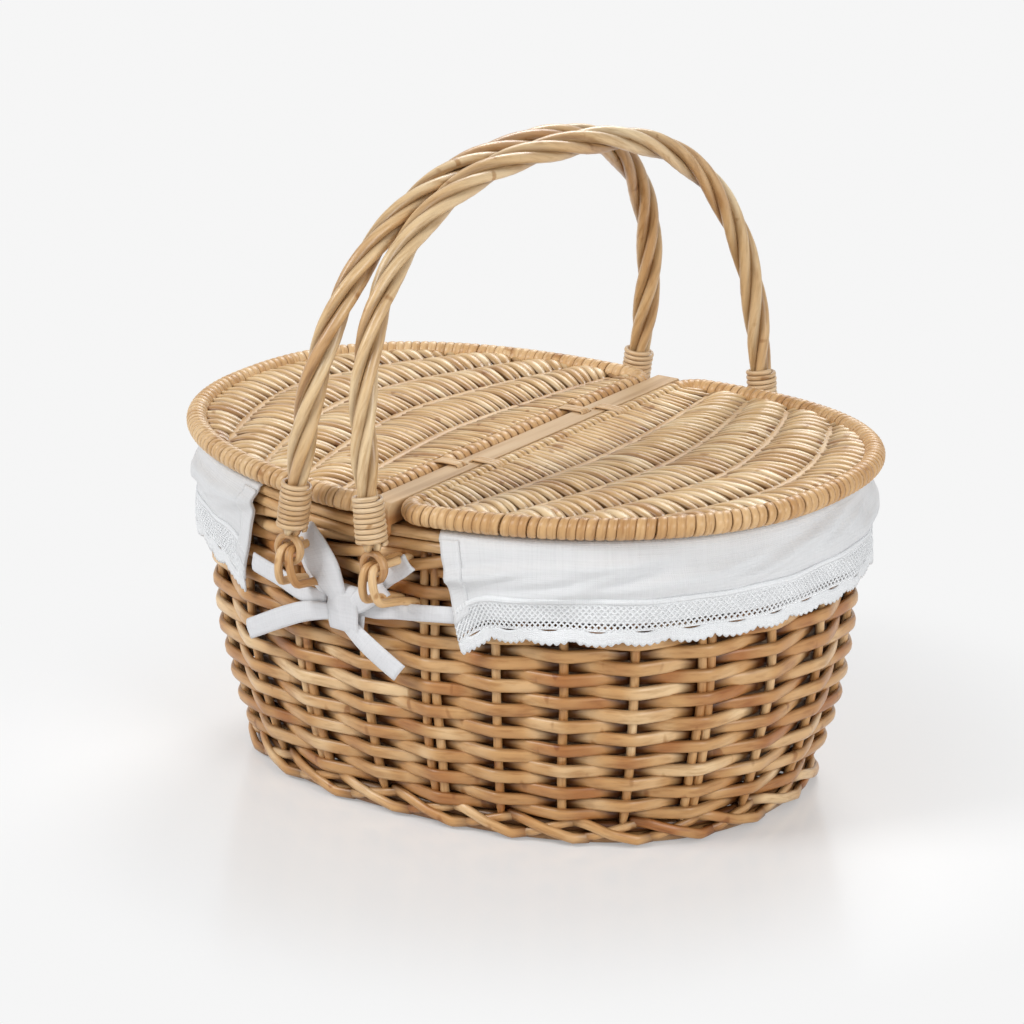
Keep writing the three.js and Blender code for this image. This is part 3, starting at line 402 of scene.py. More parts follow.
def lay(name, rods, material, slot, body, *stands_for):
    points, faces, uvs, marks, shades = [], [], [], [], []
    first = 0
    for one in rods:
        rings, lengths = one["rings"], one["lengths"] * MM
        count, corners = rings.shape[:2]
        points.append(rings.reshape(-1, 3))
        marks.append(np.full(count * corners, one["mark"]))
        shades.append(one["shade"].ravel())
        spans = count if one["closed"] else count - 1
        i, j = np.meshgrid(np.arange(spans), np.arange(corners), indexing="ij")
        here, there = i * corners, (i + 1) % count * corners
        beside = (j + 1) % corners
        quads = np.stack([here + j, here + beside, there + beside, there + j], -1).reshape(-1, 4)
        faces.extend((quads + first).tolist())
        u = np.stack([lengths[i], lengths[i], lengths[i + 1], lengths[i + 1]], -1)
        v = np.stack([j, j + 1, j + 1, j], -1) / corners
        uvs.append(np.stack([u, v], -1).reshape(-1, 2))
        if not one["closed"]:
            cap = np.arange(corners)
            faces.append((first + cap[::-1]).tolist())
            faces.append((first + (count - 1) * corners + cap).tolist())
            uvs.append(np.tile([lengths[0], 0.5], (corners, 1)))
            uvs.append(np.tile([lengths[-1], 0.5], (corners, 1)))
        first += count * corners
    return new_piece(name, points, faces, np.vstack(uvs), {"rod": marks, "shade": shades},
                     material, body, stands_for)


# %% [markdown]
# The basket's plan is a rounded oval. Its size is repeated here from the part's own
# source: half lengths at the rim, the flare towards the foot, and the rim that rises
# gently from the bridge to both ends. Rods are placed by their distance along this oval.

# %% The oval wall
OVAL_POWER = 2.35
HALF_LENGTH, HALF_WIDTH = 183.5, 138.5
FLARE_END, FLARE_SIDE, FLARE_HEIGHT, FLARE_POWER = 25, 20, 120, 2.1
RIM_HEIGHT, RIM_SLOPE = 169, 7.2 / 183.5
FOOT_HEIGHT, WEAVE_DROP = 14, 25.6
FINE_STEPS = 2880


def oval(angle, half_length, half_width):
    power = 2 / OVAL_POWER
    return half_length * rounded(np.cos(angle), power), half_width * rounded(np.sin(angle), power)


def oval_width(x, half_length, half_width):
    inside = np.maximum(0, 1 - abs(np.asarray(x, float) / half_length) ** OVAL_POWER)
    return half_width * inside ** (1 / OVAL_POWER)


fine_turn = np.linspace(0, 2 * np.pi, FINE_STEPS + 1)
walked = walk_along(np.stack(oval(fine_turn, HALF_LENGTH, HALF_WIDTH), 1))
PERIMETER = walked[-1]


def angle_at(arc):
    turns = np.floor(np.asarray(arc) / PERIMETER)
    return np.interp(arc - turns * PERIMETER, walked, fine_turn) + 2 * np.pi * turns


def arc_at(angle):
    turns = np.floor(np.asarray(angle) / (2 * np.pi))
    return np.interp(angle - turns * 2 * np.pi, fine_turn, walked) + PERIMETER * turns


def arc_of(x, front=True):
    angle = math.acos(math.copysign(abs(x / HALF_LENGTH) ** (OVAL_POWER / 2), x))
    return float(arc_at(2 * np.pi - angle if front else angle))


def wall(arc, inset, z):
    arc, inset, z = np.broadcast_arrays(arc, inset, z)
    flare = np.maximum(0, 1 - z / FLARE_HEIGHT) ** FLARE_POWER
    x, y = oval(angle_at(arc), HALF_LENGTH - FLARE_END * flare - inset,
                HALF_WIDTH - FLARE_SIDE * flare - inset)
    return np.stack([x, y, z], -1)


def rim(arc):
    x, _ = oval(angle_at(arc), HALF_LENGTH, HALF_WIDTH)
    return RIM_HEIGHT + RIM_SLOPE * abs(x)


def upwards(arc, inset, z):
    return unit(wall(arc, inset, z + 1) - wall(arc, inset, z))


print("round the rim, mm:", round(PERIMETER))

# %% [markdown]
# The side is plain randing: a rod winds in front of a stake and behind the next, and the
# row above does the opposite. The stakes stand at the photographed places, a little
# uneven, and some are doubled. Each row is laid in three rods whose ends hide behind
# stakes, and each rod has a tone of its own, because that change of tone from row to row
# is what makes the wall look woven. Where a rod dives behind a stake its colour is painted
# darker through the attribute shade: painted shade in the pockets beside the stakes.

# %% Stakes and side weave
STAKE_COUNT = 24
STAKE_START = 0.0205
STAKE_SWAYS = ((1, 0.008, -0.12), (2, 0.0123, -1.27))
STAKE_THICKNESS, STAKE_INSET, STAKE_POINTS = 5, 6, 18
STAKE_FOOT, STAKE_BELOW_RIM = 9, 12
DOUBLED_STAKES, PAIR_OFFSETS = (4, 6, 16, 18, 22), (-2.9, 2.9)
MID_WALL = 7
SIDE_ROWS = 20
WEAVE_REACH, WEAVE_SHARP = 4.4, 0.995
ROD_HEIGHT, ROD_THICKNESS = 7.8, 4.0
ROW_SPANS = ((6, 10, 8), (8, 8, 8), (8, 8, 8))
HIDDEN_END = 0.2
HIDDEN_DROP, DIVE_START, DIVE_REACH = 1.3, -0.12, 0.55
STEPS_PER_BAY = 16


def stake_arc(count):
    share = np.asarray(count, float) / STAKE_COUNT
    sway = sum(size * np.sin(2 * np.pi * waves * share + turn) for waves, size, turn in STAKE_SWAYS)
    return PERIMETER * (STAKE_START + share + sway)


def weaving(phase):
    return np.arcsin(WEAVE_SHARP * np.cos(np.pi * phase)) / np.arcsin(WEAVE_SHARP)


stakes = []
for number in range(STAKE_COUNT):
    for offset in PAIR_OFFSETS if number in DOUBLED_STAKES else (0,):
        arc = stake_arc(number) + offset
        z = np.linspace(STAKE_FOOT, float(rim(arc)) - STAKE_BELOW_RIM, STAKE_POINTS)
        arcs = arc + wander(STAKE_POINTS, 4, 0.6)
        across = unit(wall(arc + 1, STAKE_INSET, z) - wall(arc, STAKE_INSET, z))
        stakes.append(rod(wall(arcs, STAKE_INSET, z), across, STAKE_THICKNESS, STAKE_THICKNESS))

side_rods = []
for row in range(SIDE_ROWS):
    start = int(chance.integers(0, STAKE_COUNT // 2)) * 2 + (row + 1) % 2
    for span in ROW_SPANS[row % 3]:
        count = span * STEPS_PER_BAY + 1
        phase = np.linspace(start - HIDDEN_END, start + span + HIDDEN_END, count)
        arcs = stake_arc(phase) % PERIMETER
        rise = (rim(arcs) - WEAVE_DROP - FOOT_HEIGHT) / SIDE_ROWS
        front = weaving(phase + row)
        dive = np.clip((DIVE_START - front) / DIVE_REACH, 0, 1) ** 1.2
        heights = (FOOT_HEIGHT + rise * (row + 0.5) + wander(count, span, 0.35)
                   - HIDDEN_DROP * dive)
        insets = MID_WALL - WEAVE_REACH * front + wander(count, span, 0.2)
        taper = 0.95 + 0.05 * np.linspace(-1, 1, count)
        size = taper * (1 + wander(count, span, 0.03))
        # shade=dive paints shade on the rod where it dives behind a stake.
        side_rods.append(rod(wall(arcs, insets, heights), upwards(arcs, insets, heights),
                             ROD_HEIGHT * size * (1 - 0.1 * dive), ROD_THICKNESS,
                             corners=10, shade=dive, square=0.75, edge=0.6))
        start += span
lay("side_weave_rods", stakes + side_rods, wall_willow, "willow", "basket", "side_weave")

# %% [markdown]
# The foot is what carries the basket: stout rods lie round on the ground, and over them
# each stake is bent along the basket. It comes down steeply, crosses its neighbour in
# front and tucks in near the ground, so the lower edge looks like saw teeth. Thinner
# rods slant the other way behind, which closes the gaps. A ring is given as its inset,
# height, size and shade, and a bent rod as its spots, each a place in bays, an inset and
# a height, and then its size and shade.
# The top of the wall is waled instead: three rods pass in turn in front of two stakes
# and behind one, which reads as a rope.

# %% Foot and upper wale
# The shade in these tables is painted shade: the rings on the ground, the backing rods and the tips
# tucked in near the ground are darkened as shadow would darken them.
FOOT_RINGS = ((8.8, 3.1, 6.0, 0.6), (10, 8.8, 6.4, 0.9), (13, 5.5, 6.0, 0.9))
FOOT_TOOTH = ((-0.1, 7.5, 13.2), (0.2, 4.6, 12), (0.6, 2.8, 7.6), (1.0, 3.0, 4.0), (1.3, 6.5, 4.0))
FOOT_BACKING = ((0.1, 6.5, 3.6), (0.35, 5.0, 5.4), (0.6, 4.6, 8.6), (0.85, 5.0, 11),
                (1.1, 7.5, 12.6))
FOOT_BENDS = ((FOOT_TOOTH, 5.8, 0.0), (FOOT_BACKING, 5.0, 0.15))
FOOT_SHIFT, FOOT_POINTS, FOOT_ROD_THICKNESS, FOOT_TIP_SHADE = 0.2, 30, 3.8, 0.8
WALE_INSET, WALE_BELOW, WALE_OUT, WALE_UP, WALE_ROD = 7, 19.3, 4.0, 4.8, 6.6
WALE_RODS, WALE_STEPS = 3, 12
steps = np.arange(STAKE_COUNT * WALE_STEPS) / WALE_STEPS
around = stake_arc(steps) % PERIMETER


def at_height(arc, inset, z):
    line = wall(arc, inset, float(FOOT_HEIGHT))
    line[:, 2] = z
    return line


foot = [rod(at_height(around, inset, z), (0, 0, 1), size, size, closed=True, shade=shade)
        for inset, z, size, shade in FOOT_RINGS]
for number in range(STAKE_COUNT):
    for spots, size, shade in FOOT_BENDS:
        bays, insets, levels = zip(*spots)
        spot = np.linspace(bays[0], bays[-1], FOOT_POINTS)
        z = np.interp(spot, bays, levels) + wander(FOOT_POINTS, 4, 0.25)
        line = at_height(stake_arc(number + FOOT_SHIFT + spot) % PERIMETER,
                         np.interp(spot, bays, insets), z)
        tips = np.interp(spot, [bays[0], bays[1], bays[3], bays[4]],
                         [FOOT_TIP_SHADE, 0, 0, FOOT_TIP_SHADE])
        foot.append(rod(line, (0, 0, 1), size, FOOT_ROD_THICKNESS, square=0.8, edge=0.5,
                        shade=shade + tips))
lay("foot_wale_rods", foot, wall_willow, "dark_willow", "basket", "foot_wale")

wale = []
for number in range(WALE_RODS):
    angle = 2 * np.pi * (steps - number) / WALE_RODS
    z = rim(around) - WALE_BELOW + WALE_UP * np.sin(angle) + wander(len(steps), 40, 0.15)
    inset = WALE_INSET - WALE_OUT * np.cos(angle)
    # The shade is painted shade: it grows as a rod turns in behind the stakes.
    wale.append(rod(wall(around, inset, z), upwards(around, inset, z), WALE_ROD,
                    WALE_ROD * 0.92, closed=True, corners=10, edge=0.6, square=0.85,
                    shade=np.clip(0.2 - 0.7 * np.cos(angle), 0, 1)))
lay("upper_wale_rods", wale, wall_willow, "willow", "basket", "upper_wale")

# %% [markdown]
# The border on top is a bundle of stout rods laid round the rim, each given as its inset
# and its depth below the rim. Between the two cuffs of the lining two of them show, one
# over the other.

# %% Rim border
BORDER_PLACES = ((3.4, 3.5), (3.4, 9.8), (10.6, 3.5), (10.6, 9.8), (7.0, 6.6))
BORDER_WIDTH, BORDER_THICKNESS, BORDER_POINTS = 6.4, 6.2, 240
around = np.linspace(0, PERIMETER, BORDER_POINTS, endpoint=False)
border = []
for inset, below in BORDER_PLACES:
    z = rim(around) - below
    border.append(rod(wall(around, inset, z), upwards(around, inset, z), BORDER_WIDTH,
                      BORDER_THICKNESS, closed=True, edge=0.45))
lay("rim_border_rods", border, rim_willow, "dark_willow", "basket", "rim_border")

# %% [markdown]
# The base is woven flat: stout sticks across, and rods over and under them along the
# basket. Nobody sees it until the basket is turned over, but then it has to be there.

# %% Base
BASE_MIDDLE, BASE_MARGIN, BASE_WAVE = 7, 15, 2.1
BASE_ROD_PITCH, BASE_ROD_START = 5.6, 3
BASE_ROD_WIDTH, BASE_ROD_THICKNESS, BASE_ROD_STEP = 5.5, 2.9, 4
BASE_STICK_COUNT, BASE_STICK_SPACING = 5, 42
BASE_STICK_WIDTH, BASE_STICK_THICKNESS, BASE_STICK_POINTS = 6, 3.4, 30
foot_flare = (1 - FOOT_HEIGHT / FLARE_HEIGHT) ** FLARE_POWER
base_length = HALF_LENGTH - FLARE_END * foot_flare - BASE_MARGIN
base_width = HALF_WIDTH - FLARE_SIDE * foot_flare - BASE_MARGIN
base_rods = []
for row in range(int(2 * (base_width - BASE_ROD_START) / BASE_ROD_PITCH) + 1):
    y = -base_width + BASE_ROD_START + row * BASE_ROD_PITCH
    reach = float(oval_width(abs(y), base_width, base_length))
    x = np.linspace(-reach, reach, max(6, int(reach / BASE_ROD_STEP)))
    z = BASE_MIDDLE + BASE_WAVE * (-1) ** row * np.cos(np.pi * x / BASE_STICK_SPACING)
    path = np.stack([x, np.full_like(x, y) + wander(len(x), 5, 0.3), z], 1)
    # shade=0.2 paints a little shade on the base rods.
    base_rods.append(rod(path, (0, 1, 0), BASE_ROD_WIDTH, BASE_ROD_THICKNESS, shade=0.2))
lay("base_rods", base_rods, wall_willow, "dark_willow", "basket", "base_weave")

sticks = []
for k in range(BASE_STICK_COUNT):
    x = (k - BASE_STICK_COUNT // 2) * BASE_STICK_SPACING
    reach = float(oval_width(abs(x), base_length, base_width))
    y = np.linspace(-reach, reach, BASE_STICK_POINTS)
    path = np.stack([np.full_like(y, x), y, np.full_like(y, BASE_MIDDLE)], 1)
    sticks.append(rod(path, (1, 0, 0), BASE_STICK_WIDTH, BASE_STICK_THICKNESS))
lay("base_stick_rods", sticks, rim_willow, "willow", "basket",
    *[f"base_stick_{k + 1}" for k in range(BASE_STICK_COUNT)])

# %% [markdown]
# A lid is made in its own frame: the hinge bar on Y, the lid along X, Z up. The left lid
# is the same frame turned half round. The lid's edge is a stout rod, wound with willow
# all the way. One long helix does that: its turns are spaced on the outer side, so they
# fan out round the two tight corners as the real ones do.

# %% Lid frame and outline
HINGE_OFFSET, HINGE_HEIGHT = 13.5, 177.53
LID_TILT = math.atan(RIM_SLOPE)
LID_HALF_LENGTH, LID_HALF_WIDTH = 195.5, 145
EDGE_RADIUS, CORNER_RADIUS = 5.8, 12
LOOP_PLACES = (-54, 66)
LOOP_HALF = 4.8
BEND_STEPS, ARC_STEPS = 8, 90
WIND_POINTS = 14


def in_lid(side, points, turn_only=False):
    x, y, z = np.asarray(points, float).T
    c, s = math.cos(LID_TILT), math.sin(LID_TILT)
    away, rise = (0, 0) if turn_only else (HINGE_OFFSET, HINGE_HEIGHT)
    return np.stack([side * (away + x * c - z * s), side * y, rise + x * s + z * c], 1)


def lid_outline(inset, corner, start):
    half_length, half_width = LID_HALF_LENGTH - inset, LID_HALF_WIDTH - inset
    corner_x = HINGE_OFFSET + (start + corner) * math.cos(LID_TILT)
    corner_y = float(oval_width(corner_x, half_length, half_width)) - corner
    angle = np.pi * (1 - np.arange(0, BEND_STEPS + 1) / (2 * BEND_STEPS))
    bend = np.stack([start + corner * (1 + np.cos(angle)), corner_y + corner * np.sin(angle)], 1)
    first = math.acos((corner_x / half_length) ** (OVAL_POWER / 2))
    x, y = oval(first * (1 - np.arange(1, ARC_STEPS + 1) / ARC_STEPS), half_length, half_width)
    arc = np.stack([(x - HINGE_OFFSET) / math.cos(LID_TILT), y], 1)
    upper = np.vstack([bend, arc])
    return even_steps(np.vstack([upper, (upper * [1, -1])[::-1][1:]]), 1.0), corner_y


def wound(path, plane_up, radius, width, thick, pitch):
    path = np.asarray(path, float)
    tangent = unit(np.gradient(path, axis=0))
    outer_walk = walk_along(path + radius * np.cross(tangent, plane_up))
    path_walk = walk_along(path)
    turns = outer_walk[-1] / pitch
    whole = np.arange(int(turns) + 3)
    spot = np.linspace(0, turns, int(turns * WIND_POINTS))
    uneven = np.interp(spot, whole, chance.normal(0, 0.07 * pitch, len(whole)))
    place = np.clip(np.interp(spot * pitch + uneven, outer_walk, path_walk), 0, path_walk[-1])
    centre = np.stack([np.interp(place, path_walk, values) for values in path.T], 1)
    ahead = unit(np.stack([np.interp(place, path_walk, values) for values in tangent.T], 1))
    away = unit(np.cross(ahead, plane_up))
    up = np.cross(away, ahead)
    angle = 2 * np.pi * spot
    line = centre + radius * (np.cos(angle)[:, None] * away + np.sin(angle)[:, None] * up)
    wide = width * (1 + np.interp(spot, whole, chance.normal(0, 0.04, len(whole))))
    return rod(line, ahead, wide, thick, edge=0.6, square=0.85)


edge_line, corner_y = lid_outline(EDGE_RADIUS, CORNER_RADIUS, 0)
print("lid edge, mm:", len(edge_line), "hinge bar, mm:", round(2 * corner_y))

# %% [markdown]
# The top of a lid is a fan of thin rods. They leave the hinge bar in pairs, with a dark
# gap from pair to pair, spread towards the edge and grow thicker on the way. Four smooth
# sticks lie across, bent back a little at their ends, and each rod dips under them, while
# hidden sticks in between lift the rods into humps. That makes the rows of little waves
# in the photograph, with the sticks flush in the valleys. Each rod is a curve that starts
# square to the bar, and its width follows the room between its two neighbours.

# %% Fan of the lids
LID_PAIRS, PAIR_CLOSENESS, ROD_SHARE = 28, 0.43, 0.94
LID_STICKS, STICK_SPACING = 4, 37.52
FIRST_STICK = 6.3 + 0.75 * STICK_SPACING
DIP, HUMP = -2.6, 2.1
START_PLACES = [4, 10, 20, FIRST_STICK - 5, FIRST_STICK]
START_HEIGHTS = [2.6, 2.5, 1.3, -0.6, DIP]
LID_ROD, OVER_BAR = 3.6, 2.5
LID_ROD_NARROW, LID_ROD_WIDE = 2.9, 8.2
CORE_RADIUS = 3.6
BAND_BEND = 0.2
FAN_START, FAN_POINTS, FAN_STEP = 4.0, 90, 2.6
FAN_CLEARANCE, FAN_PAST_BAR = 2.4, 3
FAN_EDGE_START, FAN_EDGE_SHARE, FAN_EDGE_SWAY = 0.022, 0.956, 0.03
FAN_OUT, FAN_BACK = np.array([0.36, -0.06]), 0.25
EDGE_REACH, EDGE_LEVEL = 9, 0.6


def bend_back(y):
    return 1 - BAND_BEND * (abs(y) / 100) ** 1.6


def weave_height(x, y):
    straight = (HINGE_OFFSET + x) / bend_back(y) - HINGE_OFFSET
    wave = abs(np.sin(np.pi * (straight - FIRST_STICK) / STICK_SPACING)) ** 0.75
    return np.where(straight < FIRST_STICK, np.interp(straight, START_PLACES, START_HEIGHTS),
                    DIP + (HUMP - DIP) * wave)


def bezier(p0, p1, p2, p3, count):
    t = np.linspace(0, 1, count)[:, None]
    return (1 - t) ** 3 * p0 + 3 * t * (1 - t) ** 2 * p1 + 3 * t ** 2 * (1 - t) * p2 + t ** 3 * p3


fan_edge, _ = lid_outline(EDGE_RADIUS + FAN_CLEARANCE, CORNER_RADIUS - FAN_CLEARANCE,
                          FAN_CLEARANCE)
fan_edge = fan_edge[::-1]


def fan_line(share):
    bar_half = corner_y + FAN_PAST_BAR
    start = np.array([FAN_START, -bar_half + 2 * bar_half * share])
    sway = FAN_EDGE_SWAY * math.sin(2 * np.pi * share)
    end_share = FAN_EDGE_START + FAN_EDGE_SHARE * (share + sway)
    end = fan_edge[int(end_share * (len(fan_edge) - 1))]
    length = np.linalg.norm(end - start)
    back = end - FAN_BACK * length * unit(end - start)
    return bezier(start, start + FAN_OUT * length, back, end, FAN_POINTS)


print("fan rods of a lid:", 2 * LID_PAIRS)

# %% [markdown]
# On the right lid the rods are also turned over the hinge bar, so that only they show
# there, while the left bar is wound. They are thinner over the bar, so that they clear
# the bridge when the lid opens, and they leave out the places of the hinge loops.

# %% Rods of the lids
OVER_ANGLES = np.radians(np.arange(200, 35, -18))
OVER_RING = CORE_RADIUS + 1.1
OVER_END = 6.5
SHORTEST_FAN = 6
LOW_NARROWS, LOW_SHADE = 0.34, 0.7


def over_the_bar(line, room):
    y = np.full(len(OVER_ANGLES), line[0, 1])
    over = np.column_stack([OVER_RING * np.cos(OVER_ANGLES), y, OVER_RING * np.sin(OVER_ANGLES)])
    keep = line[:, 0] > OVER_END
    return (np.vstack([over, line[keep]]), np.r_[np.full(len(over), room[0]), room[keep]],
            np.r_[np.full(len(over), OVER_BAR), np.full(keep.sum(), LID_ROD)])


def lid_rod(side, number):
    half = 0.5 / LID_PAIRS
    share = (number // 2 + 0.5) / LID_PAIRS + half * PAIR_CLOSENESS * (1 if number % 2 else -1)
    room = np.linalg.norm(fan_line(min(1, share + half / 2)) - fan_line(max(0, share - half / 2)),
                          axis=1)
    flat = even_steps(np.column_stack([fan_line(share), room]), FAN_STEP)
    flat, room = flat[:, :2], flat[:, 2]
    count = len(flat)
    if count < SHORTEST_FAN:
        return None
    along = np.linspace(0, 1, count)
    tangent = unit(np.gradient(flat, axis=0))
    aside = wander(count, max(2, count // 10), 0.35) * np.sin(np.pi * along) ** 0.5
    z = weave_height(flat[:, 0], flat[:, 1]) + wander(count, max(2, count // 6), 0.25)
    to_edge = np.clip((1 - along) * (FAN_STEP * count) / EDGE_REACH, 0, 1)
    y = flat[0, 1]
    flat = flat + aside[:, None] * np.stack([-tangent[:, 1], tangent[:, 0]], 1)
    line = np.column_stack([flat, z * to_edge + EDGE_LEVEL * (1 - to_edge)])
    thick = LID_ROD
    near_loop = min(abs(y - place) for place in LOOP_PLACES) < LOOP_HALF
    if side > 0 and not near_loop and abs(y) < corner_y:
        line, room, thick = over_the_bar(line, room)
    # low is how far a rod dips; LOW_SHADE paints shade on it there, in the valleys by the sticks.
    low = np.clip((HUMP - line[:, 2]) / (HUMP - DIP), 0, 1)
    wide = (np.clip(room * ROD_SHARE, LID_ROD_NARROW, LID_ROD_WIDE)
            * (1 - LOW_NARROWS * low ** 1.5) * (1 + wander(len(line), 4, 0.05)))
    heading = unit(np.gradient(line, axis=0))
    across = np.column_stack([-heading[:, 1], heading[:, 0], np.zeros(len(line))])
    return rod(in_lid(side, line), in_lid(side, across, True), wide, thick,
               shade=LOW_SHADE * low ** 1.6, square=0.85, edge=0.75)


print("thickness of the rods over the right bar, mm:", OVER_BAR)

# %% [markdown]
# The sticks lie across the fan. The four that show are laid a little below the humps, and
# five hidden ones between them carry the humps. Then the lid's edge and the left lid's
# hinge bar are wound.

# %% Sticks and edges of the lids
STICK_LEVEL, STICK_WIDTH, STICK_THICKNESS = -1.3, 6.4, 3.2
HIDDEN_LEVEL, HIDDEN_WIDTH, HIDDEN_THICKNESS = -1.9, 4.4, 2.8
STICK_POINTS, STICK_MARGIN, REACH_ROUNDS = 40, 10, 8
BAR_WIND, BAR_POINTS = 4.7, 90
EDGE_SKEIN, BAR_SKEIN = (5.4, 2.4, 5.05), (5.6, 2.5, 6.4)


def lid_stick_path(k, z):
    straight = HINGE_OFFSET + FIRST_STICK + k * STICK_SPACING
    reach = 100.0
    for _ in range(REACH_ROUNDS):
        reach = float(oval_width(straight * bend_back(reach), LID_HALF_LENGTH - STICK_MARGIN,
                                 LID_HALF_WIDTH - STICK_MARGIN))
    y = np.linspace(-reach, reach, STICK_POINTS)
    x = straight * bend_back(y) - HINGE_OFFSET
    return np.column_stack([x + wander(STICK_POINTS, 6, 0.4), y,
                            z + wander(STICK_POINTS, 7, 0.15)])


def lid_sticks(side, name):
    for k in range(LID_STICKS):
        path = in_lid(side, lid_stick_path(k, STICK_LEVEL))
        width = STICK_WIDTH * (1 + wander(STICK_POINTS, 8, 0.1))
        lay(f"lid_{name}_stick_{k + 1}_rod",
            [rod(path, (1, 0, 0), width, STICK_THICKNESS, square=0.9, edge=0.8)],
            stick_willow, "willow", f"lid_{name}", f"lid_{name}_stick_{k + 1}")
    # The hidden sticks get shade=0.8: painted shade, as they lie under the rods.
    return [rod(in_lid(side, lid_stick_path(k - 0.5, HIDDEN_LEVEL)), (1, 0, 0), HIDDEN_WIDTH,
                HIDDEN_THICKNESS, shade=0.8) for k in range(LID_STICKS + 1)]


def lid_edge(side, name):
    def on_bar(y):
        return in_lid(side, np.column_stack([np.zeros(len(y)), y, np.zeros(len(y))]))

    edge = in_lid(side, np.column_stack([edge_line, np.zeros(len(edge_line))]))
    bar = on_bar(np.linspace(-corner_y, corner_y, BAR_POINTS))
    up = in_lid(side, [[0, 0, 1]], True)
    # The core under the winding gets shade=0.3: painted shade.
    made = [rod(np.vstack([edge, bar[1:-1]])[::2], up, 2 * CORE_RADIUS, 2 * CORE_RADIUS,
                closed=True, shade=0.3)]
    made.append(wound(edge, -up[0], BAR_WIND, *EDGE_SKEIN))
    if side < 0:
        near, far = LOOP_PLACES
        for low, high in ((-corner_y, near - LOOP_HALF), (near + LOOP_HALF, far - LOOP_HALF),
                          (far + LOOP_HALF, corner_y)):
            made.append(wound(on_bar(np.arange(low, high, 1.0)), -up[0], BAR_WIND, *BAR_SKEIN))
    lay(f"lid_{name}_edge_winding", made, rim_willow, "willow", f"lid_{name}", f"lid_{name}_edge")


for name, side in (("left", -1), ("right", 1)):
    hidden = lid_sticks(side, name)
    fan = [lid_rod(side, number) for number in range(2 * LID_PAIRS)]
    lay(f"lid_{name}_weave_rods", [one for one in fan if one] + hidden, lid_willow,
        "pale_willow", f"lid_{name}", f"lid_{name}_weave")
    lid_edge(side, name)

# %% [markdown]
# The bridge between the lids is a flat piece of bare wood. The solid has its form
# already, so it stays: a weld joins its loose triangles, a bevel softens the edges, and
# it only gets a wood finish, which is darker in the two low tabs. Four skeins of split
# willow, three turns each, go round the bridge's near half and a hinge bar, in at a
# slit, and these are the hinges. A turn is the hull round the bar's ring and the slat's
# corners.

# %% Bridge and hinge loops
WOOD_GRAIN = [(0.3, (0.40, 0.24, 0.11)), (0.5, (0.54, 0.36, 0.19)), (0.75, (0.60, 0.43, 0.25))]
WOOD_TABS = [(0.865, (0.80, 0.56, 0.36)), (0.89, (1, 1, 1))]
WOOD_STRETCH, TAB_SCALE = (160, 9, 160), 5
WOOD_STRENGTH, WOOD_DEPTH, WOOD_ROUGHNESS = 0.3, 0.0004, 0.6
WELD_REACH, EDGE_SOFTNESS = 0.00002, 0.0009
SLIT_HALF, SLAT_HALF = 1.05, 7.2
SLAT_LOW, SLAT_HIGH = 176.53, 181.53
SKEIN_WIDTH, SKEIN_THICKNESS, SKEIN_GAP, SKEIN_SHIFTS = 2.7, 1.5, 1.05, (-2.6, 0, 2.6)
HINGE_RING, RING_POINTS, SKEIN_STEP = CORE_RADIUS + 1.2, 24, 2.0
HINGE_LOOPS = (("left", "front", -66), ("left", "back", 54),
               ("right", "front", -54), ("right", "back", 66))


def bare_wood(name):
    material, tree, shader = new_material(name)
    place = add_node(tree, "TexCoord").outputs["Object"]
    stretch = add_node(tree, "Mapping", {"Scale": WOOD_STRETCH, "Vector": place})
    grain = noise_node(tree, stretch.outputs[0], 5)
    height = add_node(tree, "SeparateXYZ", {0: place}).outputs[2]
    tabs = ramp_node(tree, value_node(tree, "MULTIPLY", height, TAB_SCALE), WOOD_TABS)
    colour = multiply_node(tree, ramp_node(tree, grain, WOOD_GRAIN), tabs)
    add_bump(tree, shader, grain, WOOD_STRENGTH, WOOD_DEPTH)
    set_inputs(tree, shader, {"Base Color": colour, "Roughness": WOOD_ROUGHNESS})
    return material


bridge = frame["nodes"]["bridge_slat"]
bridge.data.materials.clear()
bridge.data.materials.append(bare_wood("bare wood"))
weld = bridge.modifiers.new("weld", "WELD")
weld.merge_threshold = WELD_REACH
soft_edge = bridge.modifiers.new("soft edge", "BEVEL")
soft_edge.width = EDGE_SOFTNESS
soft_edge.segments = 3
soft_edge.limit_method = "ANGLE"

for name, where, y in HINGE_LOOPS:
    side = -1 if name == "left" else 1
    spots = [(side * HINGE_OFFSET + HINGE_RING * math.cos(turn),
              HINGE_HEIGHT + HINGE_RING * math.sin(turn))
             for turn in np.linspace(0, 2 * np.pi, RING_POINTS, endpoint=False)]
    spots += [(side * x, z) for x in (SLIT_HALF - SKEIN_GAP, SLAT_HALF + SKEIN_GAP)
              for z in (SLAT_LOW - SKEIN_GAP, SLAT_HIGH + SKEIN_GAP)]
    hull = [spots[k] for k in convex_hull_2d([Vector(s) for s in spots])]
    loop = even_steps(hull, SKEIN_STEP, closed=True)
    skein = []
    for shift in SKEIN_SHIFTS:
        line = np.column_stack([loop[:, 0], np.full(len(loop), y + shift), loop[:, 1]])
        skein.append(rod(line, (0, 1, 0), SKEIN_WIDTH, SKEIN_THICKNESS, closed=True))
    lay(f"hinge_loop_{name}_{where}_skein", skein, skein_willow, "pale_willow", "basket",
        f"hinge_loop_{name}_{where}")

# %% [markdown]
# Each handle is four smooth rods, laid in a long twist: one turn in about thirteen
# centimetres. Only their path matters, so it is the arch of the solid, and each rod
# circles round it at a quarter turn from the next. At the feet the rods draw together
# under a tight binding, and below it one of them is bent round into an eye, which hangs
# on the loop at the basket's side. A handle is given as the places of its front and back
# foot along the basket, and its lean in degrees.

